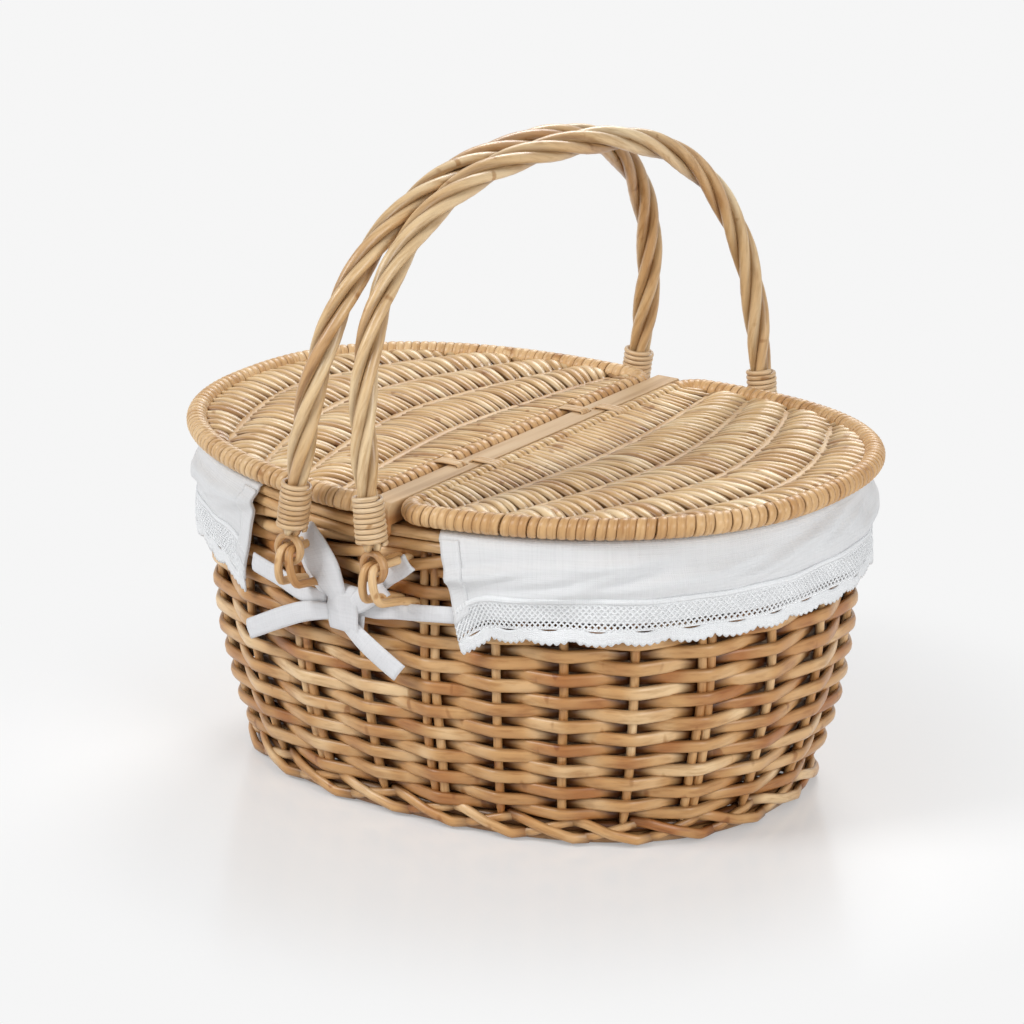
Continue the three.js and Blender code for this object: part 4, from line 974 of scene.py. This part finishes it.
# %% Handles
PIVOT_HEIGHT = 152
FOOT_SPREAD = 157
ARCH_HEIGHT, ARCH_POWER, LEG_STRAIGHT = 190, 2.5, 45
ARCH_STEPS, LEG_STEPS, HANDLE_STEP = 160, 12, 3.0
TWIST_LENGTH, TWIST_RODS = 130, 4
TWIST_TIGHT, TWIST_OPENS, TIGHT_LENGTH = 3.1, 1.1, 26
HANDLE_ROD, HANDLE_ROD_GROWS = 5.4, 0.9
LEG_START = 9.9
EYE_RADIUS, EYE_WIDTH, EYE_THICKNESS, EYE_POINTS = 7.3, 4.9, 4.0, 28
HANDLES = {"left": (-46, -36, 9.1), "right": (8, 54, -6.1)}


def handle_frame(name, points, leaning=True, turn_only=False):
    front_x, back_x, lean = HANDLES[name]
    x, y, z = np.asarray(points, float).T
    if leaning:
        a = math.radians(lean)
        x, z = x * math.cos(a) + z * math.sin(a), -x * math.sin(a) + z * math.cos(a)
    b = -math.atan2((back_x - front_x) / 2, FOOT_SPREAD)
    x, y = x * math.cos(b) - y * math.sin(b), x * math.sin(b) + y * math.cos(b)
    if turn_only:
        return np.stack([x, y, z], 1)
    return np.stack([x + (front_x + back_x) / 2, y, z + PIVOT_HEIGHT], 1)


def handle_span(name):
    front_x, back_x, _ = HANDLES[name]
    return math.hypot(FOOT_SPREAD, (back_x - front_x) / 2)


def arch_line(span):
    turn = np.linspace(0, np.pi, ARCH_STEPS + 1)
    power = 2 / ARCH_POWER
    y = -span * rounded(np.cos(turn), power)
    z = LEG_STRAIGHT + (ARCH_HEIGHT - LEG_STRAIGHT) * abs(np.sin(turn)) ** power
    leg = np.linspace(LEG_START - 1, LEG_STRAIGHT, LEG_STEPS, endpoint=False)
    line = np.vstack([np.column_stack([np.full(LEG_STEPS, -span), leg]), np.column_stack([y, z]),
                      np.column_stack([np.full(LEG_STEPS, span), leg[::-1]])])
    return even_steps(line, HANDLE_STEP)


def handle_rods(name):
    span = handle_span(name)
    flat = arch_line(span)
    line = np.column_stack([np.zeros(len(flat)), flat])
    walk = walk_along(line)
    sideways = np.array([1.0, 0, 0])
    normal = np.cross(unit(np.gradient(line, axis=0)), sideways)
    from_end = np.minimum(walk, walk[-1] - walk)
    loose = np.clip((from_end - TIGHT_LENGTH) / TIGHT_LENGTH, 0, 1)
    loose = loose * loose * (3 - 2 * loose)
    reach = (TWIST_TIGHT + TWIST_OPENS * loose)[:, None]
    made = []
    for k in range(TWIST_RODS):
        angle = 2 * np.pi * (walk / TWIST_LENGTH + k / TWIST_RODS) + wander(len(walk), 5, 0.10)
        c, s = np.cos(angle)[:, None], np.sin(angle)[:, None]
        size = (HANDLE_ROD + HANDLE_ROD_GROWS * loose) * (1 + wander(len(walk), 9, 0.03))
        # The wide direction of each rod lies round the twist, so edge paints shade into the grooves
        # between neighbouring rods.
        made.append(rod(handle_frame(name, line + reach * (c * sideways + s * normal)),
                        handle_frame(name, c * normal - s * sideways, turn_only=True),
                        size, size, corners=12, edge=0.55))
    turn = np.linspace(0, 2 * np.pi, EYE_POINTS, endpoint=False)
    across = handle_frame(name, [[0, 1, 0]], turn_only=True)
    for y in (-span, span):
        eye = np.column_stack([EYE_RADIUS * np.cos(turn), np.full(EYE_POINTS, y),
                               EYE_RADIUS * np.sin(turn)])
        made.append(rod(handle_frame(name, eye), across, EYE_WIDTH, EYE_THICKNESS,
                        closed=True, corners=10))
    return made


for name in HANDLES:
    lay(f"handle_{name}_rods", handle_rods(name), handle_willow, "pale_willow", f"handle_{name}",
        f"handle_{name}")

# %% [markdown]
# The bindings are single skeins of split willow, wound tightly nine times round the
# feet of the handles, with the end tucked under.

# %% Bindings
BIND_TURNS, TURN_POINTS = 9, 20
BIND_WIDTH, BIND_THICKNESS = 2.9, 2.4
BIND_RADIUS = 7.35
BIND_LOW, BIND_HIGH = 10.9, 38.9


def binding(name, y):
    turn = np.linspace(0, BIND_TURNS, BIND_TURNS * TURN_POINTS)
    low, high = BIND_LOW + BIND_WIDTH / 2, BIND_HIGH - BIND_WIDTH / 2
    angle = 2 * np.pi * turn
    reach = BIND_RADIUS + wander(len(turn), 20, 0.12)
    line = np.column_stack([reach * np.cos(angle), y + reach * np.sin(angle),
                            low + (high - low) * turn / BIND_TURNS])
    up = handle_frame(name, [[0, 0, 1]], turn_only=True)
    return rod(handle_frame(name, line), up, BIND_WIDTH, BIND_THICKNESS, edge=0.6)


for name in HANDLES:
    for where, y in (("front", -handle_span(name)), ("back", handle_span(name))):
        lay(f"binding_{name}_{where}_skein", [binding(name, y)], skein_willow, "pale_willow",
            f"handle_{name}", f"binding_{name}_{where}")

# %% [markdown]
# At the side of the basket the handles hang in loops: two thin rods that come out of
# the wale, pass through the handle's eye, bend down and go back into the weave.

# %% Side loops
LOOP_DROP, LOOP_BEND, LOOP_INSET = 18, 4, 6
LOOP_OUT = 5 / 2 + 0.7 + 4.8 / 2
LOOP_WIDTH, LOOP_THICKNESS, LOOP_STEP = 4.6, 4.5, 1.6
LOOP_RODS = ((-2.45, -1.0), (2.45, 4.5))
LOOP_RISE, LOOP_SAG, LOOP_END, NOSE_POINTS = 0.3, 2, 6, 13


def side_loop(name, where):
    front_x, back_x, _ = HANDLES[name]
    side, x = (-1, front_x) if where == "front" else (1, back_x)
    inner = float(oval_width(x, HALF_LENGTH, HALF_WIDTH)) - LOOP_INSET
    bend = handle_span(name) + LOOP_OUT - LOOP_BEND
    middle = (inner + bend) / 2
    turn = np.linspace(np.pi / 2, -np.pi / 2, NOSE_POINTS)
    half = LOOP_DROP / 2
    nose = np.column_stack([bend + LOOP_BEND * np.cos(turn), -half + half * np.sin(turn)])
    flat = even_steps(np.vstack([[inner, 0], [middle, LOOP_RISE], nose,
                                 [middle, -LOOP_DROP - LOOP_SAG],
                                 [inner, -LOOP_DROP - LOOP_END]]), LOOP_STEP)
    drop = np.clip(-flat[:, 1] / LOOP_DROP, 0, 1)
    across = handle_frame(name, [[1, 0, 0]], leaning=False, turn_only=True)
    made = []
    for shift, splay in LOOP_RODS:
        line = np.column_stack([shift + splay * drop, side * flat[:, 0], flat[:, 1]])
        made.append(rod(handle_frame(name, line, leaning=False), across, LOOP_WIDTH,
                        LOOP_THICKNESS, corners=10))
    return made


for name in HANDLES:
    for where in ("front", "back"):
        lay(f"side_loop_{name}_{where}_rods", side_loop(name, where), rim_willow, "willow",
            "basket", f"side_loop_{name}_{where}")

# %% [markdown]
# The lining is cotton. The finish has the two sets of threads and, in two long noises,
# the thick places of single threads. The attribute reverse is 1 on a sheet's second
# side. On the bag that is the side which shows through the gaps in the wall, and its
# colour is painted dark brown there: painted shade, standing in for the shadow in the gaps.

# %% Cotton
THREAD_PITCH = 0.0011
SLUB_LONG, SLUB_SHORT = 25, 900
COTTON_STRENGTH, COTTON_ROUGHNESS, COTTON_SHEEN, COTTON_GLOSS = 0.5, 0.9, 0.15, 0.2
WHITE, PAINTED_BACK_SHADE = (0.70, 0.703, 0.71), (0.42, 0.29, 0.19)


def cotton(name, colour, weave_depth, back=None):
    material, tree, shader = new_material(name)
    parts = uv_parts(tree)

    def threads(part):
        turn = value_node(tree, "MULTIPLY", part, 2 * math.pi / THREAD_PITCH)
        return value_node(tree, "SINE", turn)

    def slubs(*scales):
        return noise_node(tree, scaled_vector(tree, parts, scales), 3)

    weave = value_node(tree, "ADD", threads(parts[0]), threads(parts[1]))
    slub = value_node(tree, "ADD", slubs(SLUB_LONG, SLUB_SHORT), slubs(SLUB_SHORT, SLUB_LONG))
    height = value_node(tree, "ADD", value_node(tree, "MULTIPLY", weave, 0.25), slub)
    tint = ramp_node(tree, value_node(tree, "MULTIPLY", slub, 0.5),
                     [(0.3, tuple(0.93 * c for c in colour)), (0.5, colour),
                      (0.7, tuple(1.04 * c for c in colour))])
    # back darkens the reverse side of the sheet: painted shade.
    if back:
        back_shading = ramp_node(tree, attribute_node(tree, "reverse"), [(0, (1, 1, 1)), (1, back)])
        tint = multiply_node(tree, tint, back_shading)
    add_bump(tree, shader, height, COTTON_STRENGTH, weave_depth)
    set_inputs(tree, shader, {"Base Color": tint, "Roughness": COTTON_ROUGHNESS,
                              "Sheen Weight": COTTON_SHEEN, "Specular IOR Level": COTTON_GLOSS})
    return material


cuff_cotton = cotton("cuff cotton", WHITE, 0.00022)
bag_cotton = cotton("bag cotton", WHITE, 0.00022, back=PAINTED_BACK_SHADE)
ribbon_cotton = cotton("ribbon cotton", (0.71, 0.712, 0.728), 0.00015)
lace_cotton = cotton("lace cotton", (0.82, 0.83, 0.84), 0.0005)
# The net is a lighter copy of the lace cotton: painted light, which makes up for the shade on its
# thin threads and in its holes.
lit_net_cotton = cotton("lit net cotton", (0.93, 0.94, 0.95), 0.0002)
print("cotton finishes:", sum(m.name.endswith("cotton") for m in bpy.data.materials))

# %% [markdown]
# A sheet of cloth is laid as a net of points with its thickness added to both sides,
# because its folds and hems have to follow the rim exactly, which a simulation wouldn't
# keep. A net is a grid, its thickness, and whether it closes on itself. The UV map is in
# metres, so that the threads of the weave have their real pitch in every piece.

# %% Laying cloth
def net_lengths(grid, axis):
    steps = np.linalg.norm(np.diff(grid, axis=axis), axis=-1).mean(axis=1 - axis)
    return np.r_[0, np.cumsum(steps)] * MM


def net_normals(grid, wrapped):
    along = np.roll(grid, -1, 1) - np.roll(grid, 1, 1) if wrapped else np.gradient(grid, axis=1)
    return unit(np.cross(along, np.gradient(grid, axis=0)))


def cloth(name, nets, material, slot, body, *stands_for):
    points, faces, uvs, reverse = [], [], [], []
    first = 0
    for grid, thickness, wrapped in nets:
        rows, columns = grid.shape[:2]
        half = np.broadcast_to(thickness, (rows, columns))[..., None] / 2
        offset = net_normals(grid, wrapped) * half
        points.append(np.stack([grid + offset, grid - offset]).reshape(-1, 3))
        reverse.append(np.repeat([0.0, 1.0], rows * columns))
        u = net_lengths(np.concatenate([grid, grid[:, :1]], 1) if wrapped else grid, 1)
        v = net_lengths(grid, 0)

        def face(*corners):
            faces.append([first + (layer * rows + row) * columns + column % columns
                          for layer, row, column in corners])
            uvs.extend((u[column], v[row]) for _, row, column in corners)

        last = columns if wrapped else columns - 1
        for row in range(rows - 1):
            for column in range(last):
                square = ((row, column), (row, column + 1), (row + 1, column + 1),
                          (row + 1, column))
                face(*[(0, *spot) for spot in square])
                face(*[(1, *spot) for spot in square[::-1]])
        edges = [((row, column), (row, column + 1), order)
                 for row, order in ((0, 1), (rows - 1, -1)) for column in range(last)]
        if not wrapped:
            edges += [((row, column), (row + 1, column), order)
                      for column, order in ((0, -1), (columns - 1, 1)) for row in range(rows - 1)]
        for near, far, order in edges:
            face(*[(0, *near), (1, *near), (1, *far), (0, *far)][::order])
        first += 2 * rows * columns
    return new_piece(name, points, faces, uvs, {"reverse": reverse}, material, body,
                     stands_for)


# %% [markdown]
# The bag hangs inside the wall and lies on the base, in one sewn piece. It is a net of
# rings that follow the wall, gathered into shallow upright folds, and then close in
# over the base. A floor ring is given as its share of the lowest one and its lift.

# %% Lining bag
BAG_INSET, BAG_FOOT_INSET = 15.2, 19.6
BAG_CLOTH = 1.0
BAG_FOLDS, BAG_POINTS, FOLD_DEEPEST = 34, 340, 1.6
BAG_FLOOR = 12.2
BAG_LEVELS, BAG_TURN, BAG_LOWEST = (0.5, 5, 15, 30, 50, 75, 100, 125, 143), 120, 143
BAG_NARROWS, FOLDS_END, FLOOR_PUCKER = 4, 150, 0.5
FLOOR_RINGS = ((0.985, 4.0), (0.96, 1.2), (0.85, 0), (0.6, 0), (0.3, 0), (0.04, 0))
bag_arcs = np.linspace(0, PERIMETER, BAG_POINTS, endpoint=False)
gather = np.sin(2 * np.pi * BAG_FOLDS * bag_arcs / PERIMETER
                + 1.5 * np.sin(6 * np.pi * bag_arcs / PERIMETER))
bag_rows = []
for below in BAG_LEVELS:
    z = rim(bag_arcs) - below if below < BAG_LOWEST else RIM_HEIGHT - below
    depth = FOLD_DEEPEST * math.sin(math.pi * below / FOLDS_END)
    narrows = BAG_NARROWS * max(0, (below - BAG_TURN) / (BAG_LOWEST - BAG_TURN))
    bag_rows.append(wall(bag_arcs, BAG_INSET + narrows + depth * (1 + 0.8 * gather), z))
low_ring = wall(bag_arcs, BAG_FOOT_INSET, float(FOOT_HEIGHT))
for share, lift in FLOOR_RINGS:
    ring = low_ring * share
    pucker = FLOOR_PUCKER * (1 + gather) if 0 < lift < 2 else 0
    ring[:, 2] = BAG_FLOOR + BAG_CLOTH / 2 + lift + pucker
    bag_rows.append(ring)
bag = cloth("lining_bag_sheet", [(np.stack(bag_rows), BAG_CLOTH, True)], bag_cotton, "cotton",
            "basket", "liner_bag")

# %% [markdown]
# The cuffs are the part of the lining that is turned out over the rim. Each is one panel:
# it lies on the border, turns down outside and hangs free, with long flat creases. Its
# two ends are turned in and sewn down as a hem. The panel sags to its corners.
# A point of it is given by its share of the cuff's length and its way down from the rim.
# The creases are drawn anew for each call from a seed of their own, so that the panel,
# its hems and the lace all follow the same ones.

# %% Cuffs
CUFF_DROP, CORNER_SAG, CORNER_REACH = 36, 12, 30
CLOTH_OUT, FREE_OUT, FREE_START, FREE_REACH, CREASE_MOST = 2.0, 1.0, 3, 9, 4.6
CUFF_CLOTH, CUFF_STEP = 0.9, 2.2
CUFF_TOP, CUFF_BOTTOM, CUFF_ROWS = 0.12, 1.16, 24
FOLD_DEPTH, FOLDS_PER_CUFF, FOLD_MEAN, FOLD_SWAY = 3, 6, 0.55, 0.25
FRONT_SLIT, BACK_SLIT = (-85, 36), (-72, 78)
HEM_WIDTH, HEM_CLOTH, HEM_OUT, HEM_TOP, HEM_ROWS, HEM_COLUMNS = 11, 0.7, 0.75, 0.06, 22, 7
CORNER_LEAN, LEAN_FADE = 10, 7
CREASE_COUNT, CREASE_WIDTH, CREASE_SHARE = 22, 2.8, 0.8
CREASE_RANGES = ((8, 27), (26, 64), (3, 12), (2.2, 5.2))
SOFT_WAVES = ((0.9, 74, 46), (0.5, 41, -33))
OVER_RIM = ((16.2, -1.0), (12.5, -1.2), (8, -1.3), (3.5, -1.2), (0.6, -0.6), (-1.2, 1.2),
            (-CLOTH_OUT, 3.4))
CUFF_ENDS = {"left": (arc_of(BACK_SLIT[0], False), arc_of(FRONT_SLIT[0])),
             "right": (arc_of(FRONT_SLIT[1]) - PERIMETER, arc_of(BACK_SLIT[1], False))}


def cuff_shape(side, share):
    start, stop = CUFF_ENDS[side]
    from_end = np.minimum(share, 1 - share) * (stop - start)
    sag = CORNER_SAG * np.maximum(0, 1 - from_end / CORNER_REACH) ** 2
    fold = FOLD_DEPTH * (1 - np.cos(2 * np.pi * FOLDS_PER_CUFF * share)) / 2
    return sag, fold * (FOLD_MEAN + FOLD_SWAY * np.sin(9 * share + 1))


def creases(length):
    draw = np.random.default_rng(31)
    place = (np.arange(CREASE_COUNT) + draw.uniform(0, 1, CREASE_COUNT)) / CREASE_COUNT * length
    return np.stack([place] + [draw.uniform(*ends, CREASE_COUNT) for ends in CREASE_RANGES], 1)


def cuff_point(side, share, down, out=0.0):
    share, down = np.broadcast_arrays(np.asarray(share, float), np.asarray(down, float))
    start, stop = CUFF_ENDS[side]
    sag, fold = cuff_shape(side, share)
    level = down / (CUFF_DROP + sag)
    near_start = np.clip(1 - share * LEAN_FADE, 0, 1) ** 1.5
    near_stop = np.clip(1 - (1 - share) * LEAN_FADE, 0, 1) ** 1.5
    arc = start + share * (stop - start) + CORNER_LEAN * level * (near_start - near_stop)
    crease = sum(size * np.sin(2 * np.pi * (arc / along + down / across))
                 for size, along, across in SOFT_WAVES)
    for place, level_at, reach, rise, size in creases(stop - start):
        along = (share * (stop - start) - place) / reach
        off = (down - level_at + rise * along) / CREASE_WIDTH
        crease = crease + size * np.exp(-off ** 2 - (1.6 * along) ** 2)
    free = np.clip((down - FREE_START) / FREE_REACH, 0, 1)
    outwards = (CLOTH_OUT + fold * np.clip(level, 0, 1) * np.clip(2 - level, 0.4, 1)
                + free * np.minimum(FREE_OUT + CREASE_SHARE * crease, CREASE_MOST) + out)
    return wall(arc % PERIMETER, -outwards, rim(arc % PERIMETER) - down)


def cuff_net(side, share, levels, out=0.0):
    sag, _ = cuff_shape(side, share)
    return [cuff_point(side, share, level * (CUFF_DROP + sag), out) for level in levels]


def cuff_panel(side):
    start, stop = CUFF_ENDS[side]
    length = stop - start
    share = np.linspace(0, 1, int(length / CUFF_STEP))
    arc = (start + share * length) % PERIMETER
    rows = [wall(arc, inset, rim(arc) - below) for inset, below in OVER_RIM]
    rows += cuff_net(side, share, np.linspace(CUFF_TOP, CUFF_BOTTOM, CUFF_ROWS))
    nets = [(np.stack(rows), CUFF_CLOTH, False)]
    for first, last in ((0.0, HEM_WIDTH / length), (1 - HEM_WIDTH / length, 1.0)):
        hem = cuff_net(side, np.linspace(first, last, HEM_COLUMNS),
                       np.linspace(HEM_TOP, 1, HEM_ROWS), HEM_OUT)
        nets.append((np.stack(hem), HEM_CLOTH, False))
    panel = cloth(f"cuff_{side}_panel", nets, cuff_cotton, "cotton", "basket", f"cuff_{side}")
    return panel, length


print("creases in a cuff:", CREASE_COUNT)

# %% [markdown]
# The lace is sewn on over the cuff's lower edge. It is bought by the metre: a plain strip
# for the seam, a net of diamonds, one long eyelet in every scallop and a dense edge with
# little points. A picture of lace would be flat, so the net is made of real threads, and
# the dense parts are cloth with a scalloped outline, which leaves the eyelets open.
# Heights in the lace count down from the cuff's lower edge.

# %% Lace
SCALLOP, EYELET_HALF = 24, 0.23
SEAM_TOP, SEAM_BOTTOM, SEAM_OUT, SEAM_CLOTH = -7.4, -4.2, 0.75, 0.7
NET_ROWS, NET_ROW, NET_STITCH = 8, 1.7, 3.1
NET_BOTTOM = SEAM_BOTTOM + NET_ROWS * NET_ROW
DENSE_TOP, DENSE_CLOTH, DENSE_STEP, EYELET_DEPTH = NET_BOTTOM - 0.4, 0.8, 0.75, 1.9
DENSE_ROWS, SEAM_ROWS, COARSE = 5, 3, 3
EDGE_BOTTOM, EDGE_DEPTH, POINT_SIZE, POINT_PITCH = 14.0, 3.0, 1.5, 3.9
THREAD, BORDER_THREAD, THREAD_MARK = 1.55, (1.3, 1.0), 0.5


def lace_line(side, walk, below, out=0.35):
    start, stop = CUFF_ENDS[side]
    share = np.clip(walk / (stop - start), 0, 1)
    sag, _ = cuff_shape(side, share)
    return cuff_point(side, share, CUFF_DROP + sag + below, out)


def lace(side, length):
    walk = np.linspace(0, length, int(length / DENSE_STEP))
    place = walk / length * round(length / SCALLOP) % 1
    eyelet = np.sqrt(np.clip(1 - ((place - 0.5) / EYELET_HALF) ** 2, 0, 1))
    top = DENSE_TOP + EYELET_DEPTH * eyelet
    point = POINT_SIZE * abs(np.sin(np.pi * walk / POINT_PITCH))
    bottom = EDGE_BOTTOM + EDGE_DEPTH * abs(np.sin(np.pi * place)) ** 0.5 + point
    dense = np.stack([lace_line(side, walk, top * (1 - t) + bottom * t)
                      for t in np.linspace(0, 1, DENSE_ROWS)])
    coarse = walk[::COARSE]
    seam = np.stack([lace_line(side, coarse, below, SEAM_OUT)
                     for below in np.linspace(SEAM_TOP, SEAM_BOTTOM, SEAM_ROWS)])
    nets = [(dense, DENSE_CLOTH, False), (seam, SEAM_CLOTH, False)]
    edging = cloth(f"lace_{side}_edging", nets, lace_cotton, "lace", "basket", f"lace_{side}")
    up = (0, 0, 1)
    threads = [rod(lace_line(side, coarse, below), up, *BORDER_THREAD, corners=6,
                   mark=THREAD_MARK) for below in (SEAM_BOTTOM, NET_BOTTOM)]
    stitches = np.arange(0, length, NET_STITCH / 2)
    high_low = np.arange(len(stitches)) % 2
    for row in range(NET_ROWS):
        below = SEAM_BOTTOM + NET_ROW * (row + (high_low if row % 2 else 1 - high_low))
        threads.append(rod(lace_line(side, stitches, below), up, THREAD, THREAD, corners=5,
                           mark=THREAD_MARK))
    return [edging, lay(f"lace_{side}_net", threads, lit_net_cotton, "lace", "basket")]


for side in CUFF_ENDS:
    panel, length = cuff_panel(side)
    lace(side, length)

# %% [markdown]
# Two bows tie the cuffs together, one at the front and one at the back. A bow is one
# narrow ribbon, knotted: a tie to each cuff, a tall loop, a short loop, two tails and an
# end tucked behind the handle's loop. Each part is laid as a strip that follows a line
# on the wall. A spot of such a line holds the place along the basket, the distance out
# from the wall, the height, the ribbon's width there, and the turn of its width in
# degrees, where 0 is level. The back bow is the front one turned half round.

# %% Bows
BOW_PARTS = {
    "tall loop": [(-22, 6.8, 124, 11, 8), (-26.5, 8.2, 133, 19, 12), (-31.5, 8.6, 142.5, 24, 18),
                  (-37, 8.2, 151, 21, 26), (-42, 6.8, 157, 16, 34), (-45.5, 5, 159.5, 13, 38),
                  (-49, 3.6, 156.5, 12, 34), (-49.5, 2.9, 149, 12, 26), (-46.5, 2.6, 140, 12, 18),
                  (-41, 2.6, 131, 11, 12), (-32, 3, 124, 9, 8)],
    "short loop": [(-14, 7, 122.5, 9, 126), (-6, 8.6, 129, 12, 126), (2, 8.6, 135.5, 12, 126),
                   (5.5, 7, 138, 11.5, 126), (4, 5, 136.5, 11, 126), (-4, 4.2, 130, 10, 126),
                   (-13, 4, 123, 8, 126)],
    "left tail": [(-29, 6, 117, 8.5, 98), (-45, 5.2, 113.2, 10.5, 103), (-60, 4.6, 107, 11, 110),
                  (-77, 4.2, 98.5, 11, 116), (-94, 4, 89.8, 11, 118)],
    "right tail": [(-19.5, 6.6, 114, 9, 52), (-8.5, 6.8, 105.6, 11, 54), (2, 6.2, 98, 11.5, 54),
                   (13, 5.2, 90.6, 11, 54)],
    "tucked end": [(-9, 2.4, 125, 8, 140), (-2, 2.2, 134, 8, 138), (5, 2.2, 140.5, 8, 132),
                   (12, 2.6, 146, 9, 131), (19, 3.4, 152.5, 10, 131)],
}
TIE_IN = (5, 11)
KNOT_PLACE, KNOT_OUT, KNOT_HEIGHT = -19.5, 5.3, 120.5
KNOT_REACH, KNOT_DEPTH, KNOT_WIDTH = 12.6, 3.6, 21.5
KNOT_ROWS, KNOT_COLUMNS, KNOT_PINCH, KNOT_CREASE, KNOT_ROUND = 9, 26, 0.08, 0.6, 6
RIBBON_CLOTH, RIBBON_SELVEDGE, RIBBON_COLUMNS, RIBBON_STEP = 0.8, 1.7, 9, 2.0
RIBBON_ARCH, RIBBON_CURVE, RIBBON_RIPPLE = 1.0, 4.4, 0.25
SPOT_STEPS = 12
HALF_ROUND = (-1, -1, 1)


def ties(slit):
    left = [(-33, 3.2, 121, 9, 92), (-53, 2.4, 121.6, 10, 88), (-69, 2.2, 125.7, 10.5, 78),
            (slit[0] - TIE_IN[0], 2, 128.6, 10.5, 88)]
    right = [(-15, 3.5, 122, 9, 92), (-3, 3.2, 122.5, 10, 92), (11, 2.6, 124.2, 9.5, 84),
             (26, 2.2, 125.6, 9, 84), (slit[1] + TIE_IN[1], 1.4, 127.6, 9, 84)]
    return left, right


def smooth_line(spots):
    spots = np.asarray(spots, float)
    ends = np.vstack([2 * spots[0] - spots[1], spots, 2 * spots[-1] - spots[-2]])
    line = []
    for a, b, c, d in zip(ends, ends[1:], ends[2:], ends[3:]):
        t = np.linspace(0, 1, SPOT_STEPS, endpoint=False)[:, None]
        line.append(0.5 * (2 * b + (c - a) * t + (2 * a - 5 * b + 4 * c - d) * t ** 2
                           + (3 * b - a - 3 * c + d) * t ** 3))
    return even_steps(np.vstack(line + [spots[-1:]]), RIBBON_STEP)


def on_front(x, out, z):
    arcs = np.array([arc_of(float(value)) for value in x])
    here = wall(arcs, -out, z)
    away = unit(wall(arcs, -out - 1, z) - here)
    level = unit(np.cross(away, [0, 0, 1.0])) * -1
    return here, away, level, np.cross(away, level)


def strip(spots):
    x, out, z, width, turn = smooth_line(spots).T
    here, away, level, upright = on_front(x, out, z)
    turn = np.radians(turn)[:, None]
    across = np.cos(turn) * level + np.sin(turn) * upright
    spread = np.linspace(-0.5, 0.5, RIBBON_COLUMNS)
    ripple = (RIBBON_RIPPLE * np.sin(np.arange(len(x)) * 0.55)[:, None]
              * np.sin(2 * np.pi * spread))
    arch = RIBBON_ARCH - RIBBON_CURVE * spread ** 2 + ripple
    thickness = np.full(RIBBON_COLUMNS, RIBBON_CLOTH)
    thickness[[1, -2]] *= RIBBON_SELVEDGE
    net = (here[:, None] + (spread * width[:, None])[..., None] * across[:, None]
           + arch[..., None] * away[:, None])
    return net, thickness, False


def knot():
    turn = np.linspace(0, 2 * np.pi, KNOT_COLUMNS, endpoint=False)
    c, s = np.cos(turn), np.sin(turn)
    out = KNOT_OUT + KNOT_DEPTH * rounded(c, 0.7)
    z = KNOT_HEIGHT + KNOT_REACH * rounded(s, 0.8)
    here, away, level, _ = on_front(np.full(KNOT_COLUMNS, KNOT_PLACE), out, z)
    rows = []
    for share in np.linspace(-0.5, 0.5, KNOT_ROWS):
        pinch = KNOT_WIDTH * (1 - KNOT_PINCH * abs(s)) * share
        crease = KNOT_CREASE * math.cos(3.4 * math.pi * share + 0.5) - KNOT_ROUND * share ** 2
        rows.append(here + pinch[:, None] * level + (crease * c)[:, None] * away)
    return np.stack(rows), RIBBON_CLOTH, True


for name, slit in (("front", FRONT_SLIT), ("back", (-BACK_SLIT[1], -BACK_SLIT[0]))):
    nets = [strip(spots) for spots in (*ties(slit), *BOW_PARTS.values())] + [knot()]
    if name == "back":
        nets = [(grid * HALF_ROUND, thickness, wrapped) for grid, thickness, wrapped in nets]
    bow = cloth(f"bow_{name}_ribbon", nets, ribbon_cotton, "cotton", "basket", f"bow_{name}")
